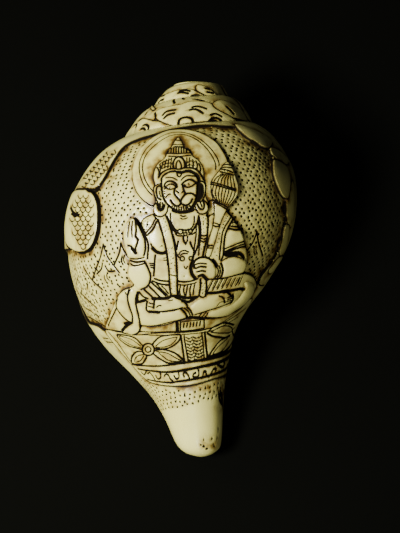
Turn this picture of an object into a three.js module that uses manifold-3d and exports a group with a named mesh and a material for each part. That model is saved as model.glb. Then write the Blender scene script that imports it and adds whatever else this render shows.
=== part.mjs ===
// A carved chank conch: one heavy spiral shell, lying mouth down with its carved back up.
//
// Millimetres, +Z up. The spire points to +Y and the siphonal canal to -Y. The shell coils to the right,
// so that, seen from above, its whorls run from the right, over the back, to the left and down to the lip.
//
// Every whorl is one outline, turned about the coiling axis while it grows by the same factor each turn.
// An outline point is written as [radius from the axis, distance down the axis from the virtual apex].
import * as THREE from "three";
import { mergeVertices } from "three/addons/utils/BufferGeometryUtils.js";
import Module from "manifold-3d";

const wasm = await Module();
wasm.setup();

const DEGREE = Math.PI / 180;
const TURN = 2 * Math.PI;

// How the shell grows
const GROWTH_PER_TURN = 1.75;
const LIP_BELOW_LEFT = 38.4 * DEGREE; // the lip's direction round the axis, past the left side and downwards
const SPIRE_TURNS = 3.5; // the oldest growth that is modelled, counted back from the lip
const STEPS = 36; // facets round a whorl
const INSIDE_STEPS = 24; // facets round the passage
const INSIDE_STEP = TURN / INSIDE_STEPS;
const SLICE_TURN = 0.75; // how much of a turn one slice of the coil takes
const ABOVE_SLICE = 0.5; // how far a slice is filled in past its outline's ends, along the axis
const BELOW_SLICE = 0.3;

// The outline at the lip: radius, distance down the axis, and how much of the growth each of them takes
const OUTLINE = [
  [30.6, 38.2, 1, 1], // buried in the whorl above
  [32.9, 36.5, 1, 1], // suture
  [38.8, 39.2, 1, 1],
  [44.8, 43.8, 1, 1],
  [50.6, 51.0, 1, 1],
  [54.8, 58.3, 1, 1],
  [57.6, 63.9, 1, 1], // the next whorl joins on here
  [59.4, 72.0, 1, 1],
  [59.9, 83.0, 1, 1], // widest
  [58.7, 95.0, 1, 1],
  [55.4, 107.0, 1, 1],
  [49.6, 118.5, 1, 1],
  [41.2, 129.5, 0.95, 0.97],
  [30.3, 139.5, 0.8, 0.92],
  [21.3, 148.3, 0.65, 0.78], // neck
  [14.8, 156.5, 0.45, 0.42],
  [10.8, 163.6, 0.3, 0.05], // end of the canal
  [7.6, 167.4, 0.2, 0.01],
  [2.6, 169.2, 0.2, 0.0],
];
const TIP_END = 169.5; // how far down the axis the canal's rounded end reaches

// The worn apex is a low dome that stands at this distance down the axis
const APEX_TOP = 9.2;
const APEX_DOME = [26, 13.5]; // how wide the worn dome is before it is steeper than the spire, and how deep
const APEX_RINGS = 6;
const APEX_FACETS = 24;
const APEX_CUT_TO = 10; // how far above the virtual apex the cutter reaches

// The canal leans over to the right towards its end
const CANAL_LEAN = 2.3;
const LEAN_STARTS = 130;

// Walls and inside
const WALL = 4.6;
const WALL_AT_CANAL = 3.4;
const CANAL_FROM = 0.62; // the shares of the outline between which the wall turns into the canal's
const CANAL_TO = 0.85;
const CALLUS = 1.5; // glaze over the whorl that the mouth faces
const CALLUS_AT_CANAL = 0.7;
const CALLUS_SPREAD = 3; // how far the glaze spreads past the lip, in facets
const CALLUS_THINNED = 0.96; // the share of it that is gone at its edge
const PASSAGE_STEPS = 20; // how far back from the lip the passage is hollow, in facets
const FOLDS = [12.15, 12.75, 13.1, 13.28]; // folds of the columella, as places along OUTLINE
const FOLD_HEIGHT = 1.8;
const FOLD_WIDTH = 1.5;

// Where each surface has its points: places along OUTLINE, and how many steps there are between them
const SKIN_PLACES = [[0, 16, 18], [24, 4]];
const GROUND_PLACES = [[0.8, 16], [24]];
const HOLLOW_PLACES = [[2.2, 15], [20]];
const CORE_PLACES = [[0, 11.6, 13.7, 16, 18], [10, 16, 3, 3]];
const GLAZE_PLACES = [[0, 11.6, 13.7], [10, 16]];

// The open slot of the canal, which carries the mouth on to the tip
const SLOT_OPENS = 115 * DEGREE; // the way it opens, round the axis from the left side downwards
const SLOT = [
  // distance down the axis, how far the slot's middle is from the axis towards the lip, half its width
  [143, 17.0, 4.0],
  [150, 13.2, 3.3],
  [156.5, 8.8, 2.8],
  [163, 5.6, 2.4],
  [174, 3.4, 2.4],
];
const SLOT_REACH = 30;
const SLOT_FACETS = 8;

// The carving: what is raised stands GROUND_DEPTH above the stippled ground that is cut away round it.
// Its outlines are [right, down the axis], drawn on the plane through the axis as an eye above the back sees them.
const GROUND_DEPTH = 1.2;
const EYE = [2, -88]; // where the eye is over that plane
const EYE_HEIGHT = 430;
const CARVED_FROM = -20; // lowest and highest level that the carving reaches
const CARVED_TO = 60;
const HALO = { centre: [-6.5, 50], radius: 21.3, facets: 28 };
const FIGURE = [
  [-7.5, 32], [-5, 36], [-2, 39.5], [3, 44.5], [4, 50], [4.5, 57], [5.5, 62], [4.5, 65], [8.5, 66.5],
  [14, 65.5], [17, 69], [20, 75.5], [22, 84.5], [24.5, 92], [27, 94], [26, 97.5], [22.5, 101.5],
  [17, 107], [6, 110], [-11, 112], [-24.5, 114.5], [-26, 117.5], [-38.5, 115.5], [-36, 107.5],
  [-34, 101.5], [-29, 97.5], [-28.5, 95.5], [-29.5, 86], [-30.5, 77.5], [-31.5, 72], [-29.5, 68],
  [-26.5, 67], [-24, 69], [-23, 69.5], [-20, 66.5], [-18.5, 64.5], [-18.5, 61.5], [-17, 57],
  [-18, 50.5], [-17, 45.5], [-13, 41], [-11, 36.5],
];
const MACE = [
  [13.5, 42.5], [15.5, 45.5], [17, 48.5], [18.5, 52.5], [17.5, 57], [15, 61.5], [11, 64.5],
  [7.5, 62.5], [6.5, 55], [7, 50], [10, 46.5],
];
const SEAT = [
  [-39, 115], [-26, 117], [-4.5, 116.5], [7.5, 113.5], [19.5, 107], [24, 101.5], [21.5, 110],
  [18, 121.5], [16.5, 131.5], [14, 133.5], [1, 138.5], [-12.5, 139.5], [-21.5, 137], [-29, 130.5],
  [-35, 122.5],
];
const GROUND = [
  [-31, 36], [-28, 34], [-21.5, 32], [-13.5, 29.5], [-5, 27.5], [4, 27], [12.5, 27.5], [18, 28.5],
  [21, 32], [26, 35], [31, 37], [33.5, 41.5], [33.5, 46.5], [35.5, 53.5], [38.5, 59], [38.5, 64.5],
  [37.5, 69], [38, 73], [36, 77], [35, 82], [32, 87.5], [28.5, 92.5], [26, 96.5], [1.5, 102.5],
  [-24, 113], [-38.5, 115.5], [-42.5, 113.5], [-47, 110], [-50.5, 103.5], [-53, 97], [-56, 88.5],
  [-58.5, 83], [-58.5, 79], [-54, 78], [-51.5, 81], [-48.5, 82], [-45.5, 81], [-43.5, 76.5], [-42, 70],
  [-42.5, 62.5], [-44.5, 57.5], [-46.5, 56], [-47.5, 54.5], [-44.5, 53.5], [-41.5, 50.5], [-37.5, 45],
  [-33.5, 38.5],
];

// How it lies: turned about the long axis, pitched canal down, and set on the ground
const REST_ROLL = 12.7 * DEGREE;
const REST_PITCH = 15.3 * DEGREE;
const REST_OVER = [7.0, 8.4, 30.5]; // puts the origin on the ground, under the middle of the shell
const REACH = 400; // more than the size of the whole shell

const growth = (t) => Math.pow(GROWTH_PER_TURN, t / TURN);
const smooth = (x, low, high) => {
  const u = Math.min(1, Math.max(0, (x - low) / (high - low)));
  return u * u * (3 - 2 * u);
};

// The outline at growth angle t (0 at the lip, negative further back), as a spline.
function outlineAt(t) {
  const k = growth(t);
  return new THREE.SplineCurve(
    OUTLINE.map(
      ([r, d, shareR, shareD]) =>
        new THREE.Vector2(r * Math.pow(k, shareR), d * Math.pow(k, shareD)),
    ),
  );
}

// Shares along the outline: counts of steps between the given places, which run from 0 to OUTLINE.length - 1.
function sharesOf(places, counts) {
  const shares = [];
  counts.forEach((count, n) => {
    for (let i = 0; i < count; i++) shares.push(places[n] + ((places[n + 1] - places[n]) * i) / count);
  });
  shares.push(places[places.length - 1]);
  return shares.map((place) => place / (OUTLINE.length - 1));
}

// Points of the outline at those shares, moved outwards by offset(curve, share, point, turned) along its normal.
function offsetOutline(t, shares, offset, turned) {
  const curve = outlineAt(t);
  return shares.map((share) => {
    const p = curve.getPoint(share);
    const g = curve.getTangent(share);
    const away = offset(curve, share, p, turned);
    return new THREE.Vector2(p.x + g.y * away, p.y - g.x * away);
  });
}

// A point of the coil, in the shell's own frame, before the canal leans over.
function place(radius, down, t) {
  const around = LIP_BELOW_LEFT + t;
  return new THREE.Vector3(-radius * Math.cos(around), -down, -radius * Math.sin(around));
}

// A solid slice of the coil between two growth steps, less than a whole turn apart, filled in to the axis.
function slice(first, last, stepsPerTurn, shares, offset, lag) {
  const rings = [];
  const steps = last - first;
  const count = shares.length - 1;
  for (let j = first; j <= last; j++) {
    const t = (j * TURN) / stepsPerTurn;
    rings.push({ t, points: offsetOutline(t - lag, shares, offset, t) });
  }
  const top = place(0, Math.min(...rings.map((ring) => ring.points[0].y)) - ABOVE_SLICE, 0);
  const bottom = place(0, Math.max(...rings.map((ring) => ring.points[count].y)) + BELOW_SLICE, 0);
  const vertices = [top, bottom];
  const at = (j, i) => 2 + j * (count + 1) + i;
  for (const { t, points } of rings) {
    for (const p of points) vertices.push(place(p.x, p.y, t));
  }
  const faces = [];
  for (let j = 0; j < steps; j++) {
    faces.push([0, at(j, 0), at(j + 1, 0)]);
    faces.push([1, at(j + 1, count), at(j, count)]);
    for (let i = 0; i < count; i++) {
      faces.push([at(j, i), at(j, i + 1), at(j + 1, i)]);
      faces.push([at(j, i + 1), at(j + 1, i + 1), at(j + 1, i)]);
    }
  }
  for (const [j, forwards] of [[0, false], [steps, true]]) {
    const section = [new THREE.Vector2(0, -top.y), ...rings[j].points, new THREE.Vector2(0, -bottom.y)];
    const name = (n) => (n === 0 ? 0 : n === section.length - 1 ? 1 : at(j, n - 1));
    const clockwise = THREE.ShapeUtils.isClockWise(section);
    for (const corners of THREE.ShapeUtils.triangulateShape(section, [])) {
      const same = THREE.ShapeUtils.isClockWise(corners.map((n) => section[n])) === clockwise;
      const [a, b, c] = corners.map(name);
      faces.push(same === forwards ? [a, b, c] : [a, c, b]);
    }
  }
  return solid(vertices, faces);
}

// A manifold solid from shared vertices and faces, turned right side out if it has to be.
function solid(vertices, faces) {
  const build = (list) =>
    new wasm.Manifold(
      new wasm.Mesh({
        numProp: 3,
        vertProperties: new Float32Array(vertices.flatMap((v) => [v.x, v.y, v.z])),
        triVerts: new Uint32Array(list.flat()),
      }),
    );
  const made = build(faces);
  return made.volume() < 0 ? build(faces.map(([a, b, c]) => [a, c, b])) : made;
}

// A manifold solid of a closed three.js geometry.
function solidOf(geometry) {
  geometry.deleteAttribute("normal");
  geometry.deleteAttribute("uv");
  const merged = mergeVertices(geometry);
  const position = merged.getAttribute("position");
  const vertices = [];
  for (let n = 0; n < position.count; n++) vertices.push(new THREE.Vector3().fromBufferAttribute(position, n));
  const faces = [];
  for (let n = 0; n < merged.index.count; n += 3) faces.push([...merged.index.array.slice(n, n + 3)]);
  return solid(vertices, faces.filter(([a, b, c]) => a !== b && b !== c && c !== a));
}

// Slices joined from growth step first to last, each of them overlapping the next by a step.
function coil(first, last, stepsPerTurn, shares, offset = () => 0, lag = 0) {
  const reach = Math.round(stepsPerTurn * SLICE_TURN);
  let joined = null;
  for (let end = last; end > first; end -= reach) {
    const piece = slice(Math.max(first, end - reach - 1), end, stepsPerTurn, shares, offset, lag);
    joined = joined ? joined.add(piece) : piece;
  }
  return joined;
}

// All that the worn apex has lost: what is above a low dome.
function apexCutter() {
  const [wide, deep] = APEX_DOME;
  const profile = [];
  for (let i = 0; i <= APEX_RINGS; i++) {
    const a = (Math.PI / 2) * (i / APEX_RINGS);
    profile.push(new THREE.Vector2(wide * Math.sin(a), -APEX_TOP - deep * (1 - Math.cos(a))));
  }
  profile.push(new THREE.Vector2(wide, APEX_CUT_TO), new THREE.Vector2(0, APEX_CUT_TO));
  return solidOf(new THREE.LatheGeometry(profile, APEX_FACETS));
}

// The biggest body of a solid, without the specks that a cut can leave.
function largest(made) {
  return made.decompose().sort((a, b) => b.volume() - a.volume())[0];
}

// The same solid with its canal leaning over to the right.
function leaning(made) {
  const mesh = made.getMesh();
  const vertices = [];
  for (let n = 0; n < mesh.numVert; n++) {
    const [x, y, z] = mesh.vertProperties.subarray(n * mesh.numProp, n * mesh.numProp + 3);
    const past = Math.max(0, (-y - LEAN_STARTS) / (TIP_END - LEAN_STARTS));
    vertices.push(new THREE.Vector3(x + CANAL_LEAN * past * past, y, z));
  }
  const faces = [];
  for (let n = 0; n < mesh.numTri; n++) faces.push([...mesh.triVerts.subarray(n * 3, n * 3 + 3)]);
  return solid(vertices, faces);
}

// The U-shaped cutter of the canal's slot.
function slot() {
  const out = new THREE.Vector3(-Math.cos(SLOT_OPENS), 0, -Math.sin(SLOT_OPENS));
  const side = new THREE.Vector3(-Math.sin(SLOT_OPENS), 0, Math.cos(SLOT_OPENS));
  const ring = [];
  for (let i = 0; i <= SLOT_FACETS; i++) {
    const a = (Math.PI * i) / SLOT_FACETS;
    ring.push([-Math.sin(a), Math.cos(a)]);
  }
  const vertices = [];
  for (const [down, middle, half] of SLOT) {
    const corners = ring.map(([u, v]) => [u * half, v * half]).concat([[SLOT_REACH, -half], [SLOT_REACH, half]]);
    for (const [u, v] of corners) {
      const p = place(0, down, 0).addScaledVector(out, u).addScaledVector(side, middle + v);
      vertices.push(p);
    }
  }
  const n = SLOT_FACETS + 3;
  const faces = [];
  for (let j = 0; j + 1 < SLOT.length; j++) {
    for (let i = 0; i < n; i++) {
      const [a, b] = [j * n + i, j * n + ((i + 1) % n)];
      faces.push([a, b, a + n], [b, b + n, a + n]);
    }
  }
  const last = (SLOT.length - 1) * n;
  for (let i = 1; i + 1 < n; i++) faces.push([0, i + 1, i], [last, last + i, last + i + 1]);
  return solid(vertices, faces);
}

const canalShare = (share) => smooth(share, CANAL_FROM, CANAL_TO);
const wallInset = (curve, share) => -(WALL + (WALL_AT_CANAL - WALL) * canalShare(share));

// Glaze, with the folds of the columella as ridges on it.
function coreOutset(curve, share, p) {
  const glaze = CALLUS + (CALLUS_AT_CANAL - CALLUS) * canalShare(share);
  return FOLDS.reduce((sum, fold) => {
    const away = (p.y - curve.getPoint(fold / (OUTLINE.length - 1)).y) / FOLD_WIDTH;
    return sum + FOLD_HEIGHT * Math.exp(-away * away);
  }, glaze);
}

// The glaze that spreads out of the mouth and thins away.
const spreadOutset = (curve, share, p, turned) =>
  coreOutset(curve, share, p) * (1 - CALLUS_THINNED * smooth(turned, 0, CALLUS_SPREAD * INSIDE_STEP));

// The block between an outline on the plane through the axis and the eye above the back.
function seen(outline) {
  const shape = new THREE.Shape(outline.map(([right, down]) => new THREE.Vector2(right, -down)));
  const block = new THREE.ExtrudeGeometry(shape, { depth: CARVED_TO - CARVED_FROM, bevelEnabled: false });
  block.translate(0, 0, CARVED_FROM);
  const position = block.getAttribute("position");
  for (let n = 0; n < position.count; n++) {
    const narrower = 1 - position.getZ(n) / EYE_HEIGHT;
    position.setX(n, EYE[0] + (position.getX(n) - EYE[0]) * narrower);
    position.setY(n, EYE[1] + (position.getY(n) - EYE[1]) * narrower);
  }
  return solidOf(block);
}

// The ground round the halo, the figure, the mace and the seat: a skin of the last whorl that is cut away.
function ground(lastWhorl) {
  const disc = [];
  for (let i = 0; i < HALO.facets; i++) {
    const a = (TURN * i) / HALO.facets;
    disc.push([HALO.centre[0] + HALO.radius * Math.cos(a), HALO.centre[1] + HALO.radius * Math.sin(a)]);
  }
  const raised = [disc, FIGURE, MACE, SEAT].map(seen);
  return raised.reduce((left, block) => left.subtract(block), seen(GROUND)).subtract(lastWhorl);
}

const underGround = slice(2 - STEPS, 0, STEPS, sharesOf(...GROUND_PLACES), () => -GROUND_DEPTH, 0);
const outside = coil(-SPIRE_TURNS * STEPS, 0, STEPS, sharesOf(...SKIN_PLACES))
  .subtract(ground(underGround))
  .add(coil(-1, CALLUS_SPREAD, INSIDE_STEPS, sharesOf(...GLAZE_PLACES), spreadOutset, TURN))
  .subtract(apexCutter());
const hollow = coil(-PASSAGE_STEPS, 1, INSIDE_STEPS, sharesOf(...HOLLOW_PLACES), wallInset);
const core = coil(-PASSAGE_STEPS - 1, 2, INSIDE_STEPS, sharesOf(...CORE_PLACES), coreOutset, TURN);
const shellSolid = largest(leaning(outside.subtract(hollow.subtract(core)).subtract(slot())));

const rest = new THREE.Matrix4()
  .makeTranslation(...REST_OVER)
  .multiply(new THREE.Matrix4().makeRotationX(REST_PITCH))
  .multiply(new THREE.Matrix4().makeRotationY(REST_ROLL))
  .multiply(new THREE.Matrix4().makeTranslation(0, 80, 0));

// The lip, the belly and the canal touch the ground with small flats worn on them.
const aboveGround = solidOf(new THREE.BoxGeometry(REACH, REACH, REACH).translate(0, 0, REACH / 2));
const resting = shellSolid.transform(rest.elements).intersect(aboveGround);

function geometryOf(made) {
  const mesh = made.getMesh();
  const geometry = new THREE.BufferGeometry();
  geometry.setAttribute("position", new THREE.BufferAttribute(new Float32Array(mesh.vertProperties), 3));
  geometry.setIndex(new THREE.BufferAttribute(new Uint32Array(mesh.triVerts), 1));
  geometry.computeVertexNormals();
  return geometry;
}

const ivory = new THREE.MeshStandardMaterial({ color: 0xe4dcbc, roughness: 0.38, metalness: 0 });
const shell = new THREE.Mesh(geometryOf(resting), ivory);
shell.name = "conch_shell";

const part = new THREE.Group();
part.add(shell);
export default part;
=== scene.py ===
"""A carved chank conch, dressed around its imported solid.

The shell's outer skin is a mesh that is fine where the carver's lines, steps and dots run and coarse
where the shell is plain. It is grown by the same rule as the solid, and every mark of the carving is
laid on it by where it is seen from above. The passage behind the mouth is grown by Geometry Nodes.
"""

from __future__ import annotations

import logging
import math
from collections.abc import Sequence
from dataclasses import dataclass, field
from enum import Enum

import bpy
import numpy as np
from mathutils import Matrix, Vector
from mathutils.geometry import delaunay_2d_cdt
from mathutils.kdtree import KDTree

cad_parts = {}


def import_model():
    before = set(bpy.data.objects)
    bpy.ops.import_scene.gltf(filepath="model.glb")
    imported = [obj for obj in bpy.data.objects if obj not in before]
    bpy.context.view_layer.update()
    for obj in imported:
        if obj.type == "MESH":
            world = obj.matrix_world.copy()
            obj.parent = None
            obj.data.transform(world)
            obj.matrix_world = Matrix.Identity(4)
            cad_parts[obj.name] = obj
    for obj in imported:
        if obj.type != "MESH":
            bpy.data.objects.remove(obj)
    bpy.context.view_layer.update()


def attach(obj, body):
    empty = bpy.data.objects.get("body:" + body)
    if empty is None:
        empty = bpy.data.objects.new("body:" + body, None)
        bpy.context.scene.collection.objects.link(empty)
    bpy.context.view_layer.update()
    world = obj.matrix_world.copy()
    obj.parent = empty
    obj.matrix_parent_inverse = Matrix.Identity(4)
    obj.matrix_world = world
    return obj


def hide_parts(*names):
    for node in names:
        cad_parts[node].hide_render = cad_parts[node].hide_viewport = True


log = logging.getLogger("conch")

# a millimetre in metres, and a whole turn
MM = 0.001
TURN = 2 * math.pi
# the photograph's size in pixels
PHOTO_WIDTH, PHOTO_HEIGHT = 400, 533
# a unit of the chart is taken as at least this many millimetres, where gaps are worked out
LEAST_SCALE = 4.0
# how far the stain, which is dirt and painted shade, reaches from the foot of a step and from a cut, in
# millimetres
STAIN_AND_SHADE_REACH = 2.1
CUT_STAIN_AND_SHADE_REACH = 0.8
# how strong the stain and painted shade are beside a cut
CUT_STAIN_AND_SHADE = 0.62
# how far round a step and a cut the skin is worked out, in millimetres
LEVEL_MARGIN = 6.0
CUT_MARGIN = 1.5
# gaps between the points along a cut and a step, in millimetres
CUT_GAP = 0.5
STEP_GAP = 0.65
# depth of the dark line along the foot of a step, in millimetres
FOOT_DEPTH = 0.14
# where the ink fades out across a cut and a dot, in half widths and in radii
CUT_INK_EDGE = (0.65, 1.35)
DOT_INK_EDGE = (0.8, 1.25)
# depth of a dot in radii, and how far round it the skin is worked out
DOT_DEPTH = 0.6
DOT_MARGIN = 3
# rings of mesh points round a dot: how wide each is, in the dot's radii, and how many points it has
DOT_RINGS = ((0.8, 6), (1.3, 7))
# rows of mesh points beside a cut and beside the line along a foot, in half widths
CUT_ROWS = (-1.9, -1.15, -0.6, 0, 0.6, 1.15, 1.9)
FOOT_ROWS = (-1.9, 1.9)
# the same beside a step, in widths of its edge
STEP_ROWS = (-2.2, -0.6, 0, 0.6, 2.2)
# how far the rows run on past the ends of a cut, in half widths
CUT_CAP = 1.3
# points that a small circle is drawn through
RING_POINTS = 12
# the curve of one scale in its own width and height, and the most rows out from the middle
SCALE_ARC = ((-0.5, -0.3), (-0.25, 0.3), (0.1, 0.42), (0.42, 0.1), (0.5, -0.3))
SCALE_ROWS = 9

Points = Sequence[tuple[float, float]]


def smooth(x: np.ndarray, low: float, high: float) -> np.ndarray:
    """A soft step from 0 at low to 1 at high."""
    u = np.clip((x - low) / (high - low), 0.0, 1.0)
    return u * u * (3 - 2 * u)


def linear(code: str) -> tuple[float, float, float, float]:
    """Turn an sRGB hex code into a linear colour.

    Args:
        code: Six hex digits after a hash mark.

    Returns:
        Red, green, blue and alpha.
    """
    parts = [int(code[i : i + 2], 16) / 255 for i in (1, 3, 5)]
    low = [c / 12.92 if c <= 0.04045 else ((c + 0.055) / 1.055) ** 2.4 for c in parts]
    return (low[0], low[1], low[2], 1.0)


@dataclass(frozen=True)
class Growth:
    """The rule that the shell grows by, in millimetres in the shell's own frame.

    The outline is turned about the coiling axis while it grows by the same factor each turn. A place
    on the skin is (t, p): the growth angle, 0 at the lip and negative further back, and the place
    along the outline, from 0 at the suture to 18 at the canal's end.
    """

    per_turn: float = 1.75
    lip_below_left: float = math.radians(38.4)
    turns: float = 3.5
    tip_end: float = 169.5
    lean: float = 2.3
    lean_starts: float = 130.0
    # radius, distance down the axis, and how much of the growth each of them takes
    outline: tuple[tuple[float, float, float, float], ...] = (
        (30.6, 38.2, 1, 1),
        (32.9, 36.5, 1, 1),
        (38.8, 39.2, 1, 1),
        (44.8, 43.8, 1, 1),
        (50.6, 51.0, 1, 1),
        (54.8, 58.3, 1, 1),
        (57.6, 63.9, 1, 1),
        (59.4, 72.0, 1, 1),
        (59.9, 83.0, 1, 1),
        (58.7, 95.0, 1, 1),
        (55.4, 107.0, 1, 1),
        (49.6, 118.5, 1, 1),
        (41.2, 129.5, 0.95, 0.97),
        (30.3, 139.5, 0.8, 0.92),
        (21.3, 148.3, 0.65, 0.78),
        (14.8, 156.5, 0.45, 0.42),
        (10.8, 163.6, 0.3, 0.05),
        (7.6, 167.4, 0.2, 0.01),
        (2.6, 169.2, 0.2, 0.0),
    )

    @property
    def last(self) -> float:
        """The outline's last place."""
        return len(self.outline) - 1.0

    def section(self, t: np.ndarray, p: np.ndarray) -> tuple[np.ndarray, np.ndarray]:
        """Radius and distance down the axis at places on the skin.

        Args:
            t: Growth angles.
            p: Places along the outline.

        Returns:
            Radii and distances, by a uniform Catmull-Rom spline through the outline.
        """
        table = np.array(self.outline)
        count = len(table)
        t, p = np.broadcast_arrays(np.asarray(t, float), np.asarray(p, float))
        i = np.clip(np.floor(p).astype(int), 0, count - 1)
        w = p - i
        k = self.per_turn ** (t / TURN)
        corners = []
        for step in (-1, 0, 1, 2):
            row = table[np.clip(i + step, 0, count - 1)]
            corners.append((row[..., 0] * k ** row[..., 2], row[..., 1] * k ** row[..., 3]))
        values = []
        for axis in (0, 1):
            a, b, c, d = (corner[axis] for corner in corners)
            v0, v1 = (c - a) / 2, (d - b) / 2
            values.append(
                (2 * b - 2 * c + v0 + v1) * w**3 + (-3 * b + 3 * c - 2 * v0 - v1) * w**2 + v0 * w + b
            )
        return values[0], values[1]

    def at(self, radius: np.ndarray, down: np.ndarray, t: np.ndarray) -> np.ndarray:
        """Points at a radius and a distance down the axis, before the canal leans over."""
        around = self.lip_below_left + t
        return np.stack([-radius * np.cos(around), -down, -radius * np.sin(around)], axis=-1)

    def leaning(self, points: np.ndarray) -> np.ndarray:
        """The points with the canal leaning over to the right."""
        past = np.maximum(0, (-points[..., 1] - self.lean_starts) / (self.tip_end - self.lean_starts))
        moved = points.copy()
        moved[..., 0] += self.lean * past**2
        return moved

    def skin(self, t: np.ndarray, p: np.ndarray) -> np.ndarray:
        """Points of the uncarved skin."""
        radius, down = self.section(t, p)
        return self.leaning(self.at(radius, down, np.asarray(t, float)))

    def normal(self, t: np.ndarray, p: np.ndarray) -> np.ndarray:
        """Outward unit normals of the uncarved skin."""
        step = 1e-3
        along = self.skin(t + step, p) - self.skin(t - step, p)
        down = self.skin(t, np.minimum(p + step, self.last)) - self.skin(t, np.maximum(p - step, 0))
        across = np.cross(along, down)
        return across / np.maximum(np.linalg.norm(across, axis=-1, keepdims=True), 1e-9)


class Chart:
    """The skin unrolled so that small shapes keep their form.

    u is the growth angle, and v grows down the outline.
    """

    def __init__(self, growth: Growth) -> None:
        """Tabulate v, whose step is the outline's own step divided by the radius."""
        self.growth = growth
        self.places = np.linspace(0, growth.last, 1801)
        radius, down = growth.section(np.zeros_like(self.places), self.places)
        step = np.hypot(np.diff(radius), np.diff(down)) / ((radius[1:] + radius[:-1]) / 2)
        self.values = np.concatenate([[0], np.cumsum(step)])

    def v(self, p: np.ndarray) -> np.ndarray:
        """The chart's v at places along the outline."""
        return np.interp(p, self.places, self.values)

    def p(self, v: np.ndarray) -> np.ndarray:
        """The place along the outline at values of v."""
        return np.interp(v, self.values, self.places)

    def scale(self, u: np.ndarray, v: np.ndarray) -> np.ndarray:
        """Millimetres on the skin for one unit of the chart."""
        return self.growth.section(u, self.p(v))[0]


@dataclass(frozen=True)
class Photo:
    """How the camera of the photograph stood over the shell, in the shell's own frame."""

    focal: float = 1000.0
    middle: tuple[float, float] = (PHOTO_WIDTH / 2, PHOTO_HEIGHT / 2)
    eye: tuple[float, float, float] = (1.72, -87.9, 430.0)

    def project(self, points: np.ndarray) -> np.ndarray:
        """Where points of the shell are seen, in the photograph's pixels."""
        away = self.eye[2] - points[..., 2]
        x = self.middle[0] + self.focal * (points[..., 0] - self.eye[0]) / away
        y = self.middle[1] - self.focal * (points[..., 1] - self.eye[1]) / away
        return np.stack([x, y], axis=-1)


def tree_of(points: np.ndarray) -> KDTree:
    """A search tree of points, which may be flat ones."""
    tree = KDTree(len(points))
    for index, point in enumerate(points):
        tree.insert((*point, 0)[:3], index)
    tree.balance()
    return tree


class Seer:
    """Finds the place on the skin that is seen at a pixel of the photograph."""

    # the net over each whorl: growth angles in degrees and places along the outline, with their steps
    angles = (-236, -16, 1.5)
    first_place, place_step = 0.45, 0.07
    # how far the net runs short of the outline's end, and where it ends on the whorls above
    end_gap, upper_end = 0.5, 6.35
    # how squarely the skin has to face the eye
    least_facing = 0.04
    # the search from the nearest point of the net: rounds, step for slopes, longest move
    rounds, slope_step, longest_move = 5, 1e-3, 0.05
    # a find is dropped when it misses by more pixels, or strays further from the net's point
    most_miss, most_stray = 0.4, 0.25

    def __init__(self, chart: Chart, photo: Photo) -> None:
        """Lay a net over the part of each whorl that faces the eye."""
        self.chart, self.photo = chart, photo
        growth = chart.growth
        self.nets: list[np.ndarray] = []
        self.trees: list[KDTree] = []
        for turns, end in enumerate((growth.last - self.end_gap, self.upper_end, self.upper_end)):
            t = np.radians(np.arange(*self.angles)) - turns * TURN
            p = np.arange(self.first_place, end, self.place_step)
            net = np.stack(np.meshgrid(t, p, indexing="ij"), axis=-1).reshape(-1, 2)
            points = growth.skin(net[:, 0], net[:, 1])
            towards = np.array(photo.eye) - points
            facing = (growth.normal(net[:, 0], net[:, 1]) * towards).sum(1)
            seen = facing / np.linalg.norm(towards, axis=1) > self.least_facing
            self.nets.append(net[seen])
            self.trees.append(tree_of(photo.project(points[seen])))

    def look(self, t: np.ndarray, p: np.ndarray) -> np.ndarray:
        """The pixels where places on the skin are seen."""
        return self.photo.project(self.chart.growth.skin(t, p))

    def find(self, pixels: Points) -> np.ndarray:
        """Chart points under pixels, all of them on the one whorl that lies under them best.

        Args:
            pixels: Points of the photograph.

        Returns:
            One (u, v) for each pixel: where it meets the skin, or the nearest of the skin's edge.
        """
        wanted = np.asarray(pixels, float)
        tries = [[tree.find((x, y, 0)) for x, y in wanted] for tree in self.trees]
        best = min(range(len(tries)), key=lambda n: sum(found[2] ** 2 for found in tries[n]))
        near = np.array([self.nets[best][found[1]] for found in tries[best]])
        place = near.copy()
        step = self.slope_step
        for _ in range(self.rounds):
            here = self.look(place[:, 0], place[:, 1])
            along = (self.look(place[:, 0] + step, place[:, 1]) - here) / step
            down = (self.look(place[:, 0], place[:, 1] + step) - here) / step
            missing = wanted - here
            twist = along[:, 0] * down[:, 1] - along[:, 1] * down[:, 0]
            twist = np.where(np.abs(twist) < 1e-3, 1e-3, twist)
            dt = (missing[:, 0] * down[:, 1] - missing[:, 1] * down[:, 0]) / twist
            dp = (along[:, 0] * missing[:, 1] - along[:, 1] * missing[:, 0]) / twist
            place = place + np.clip(np.stack([dt, dp], axis=1), -self.longest_move, self.longest_move)
            place[:, 1] = np.clip(place[:, 1], 0.0, self.chart.growth.last)
        missed = np.abs(self.look(place[:, 0], place[:, 1]) - wanted).max(1) > self.most_miss
        lost = missed | (np.abs(place - near).max(1) > self.most_stray)
        place[lost] = near[lost]
        return np.stack([place[:, 0], self.chart.v(place[:, 1])], axis=1)


def spline(points: np.ndarray, closed: bool, pieces: int = 8) -> np.ndarray:
    """A smooth line through points.

    Args:
        points: The points that it passes through.
        closed: Whether it returns to its start.
        pieces: Straight pieces between two of the points.

    Returns:
        The line's own points.
    """
    count = len(points)
    if count < 3:
        return points
    w = np.linspace(0, 1, pieces, endpoint=False)[:, None]
    parts = []
    for i in range(count if closed else count - 1):
        if closed:
            a, b, c, d = (points[(i + k) % count] for k in (-1, 0, 1, 2))
        else:
            a, b, c, d = (points[min(max(i + k, 0), count - 1)] for k in (-1, 0, 1, 2))
        v0, v1 = (c - a) / 2, (d - b) / 2
        parts.append((2 * b - 2 * c + v0 + v1) * w**3 + (-3 * b + 3 * c - 2 * v0 - v1) * w**2 + v0 * w + b)
    if not closed:
        parts.append(points[-1:])
    return np.concatenate(parts)


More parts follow.
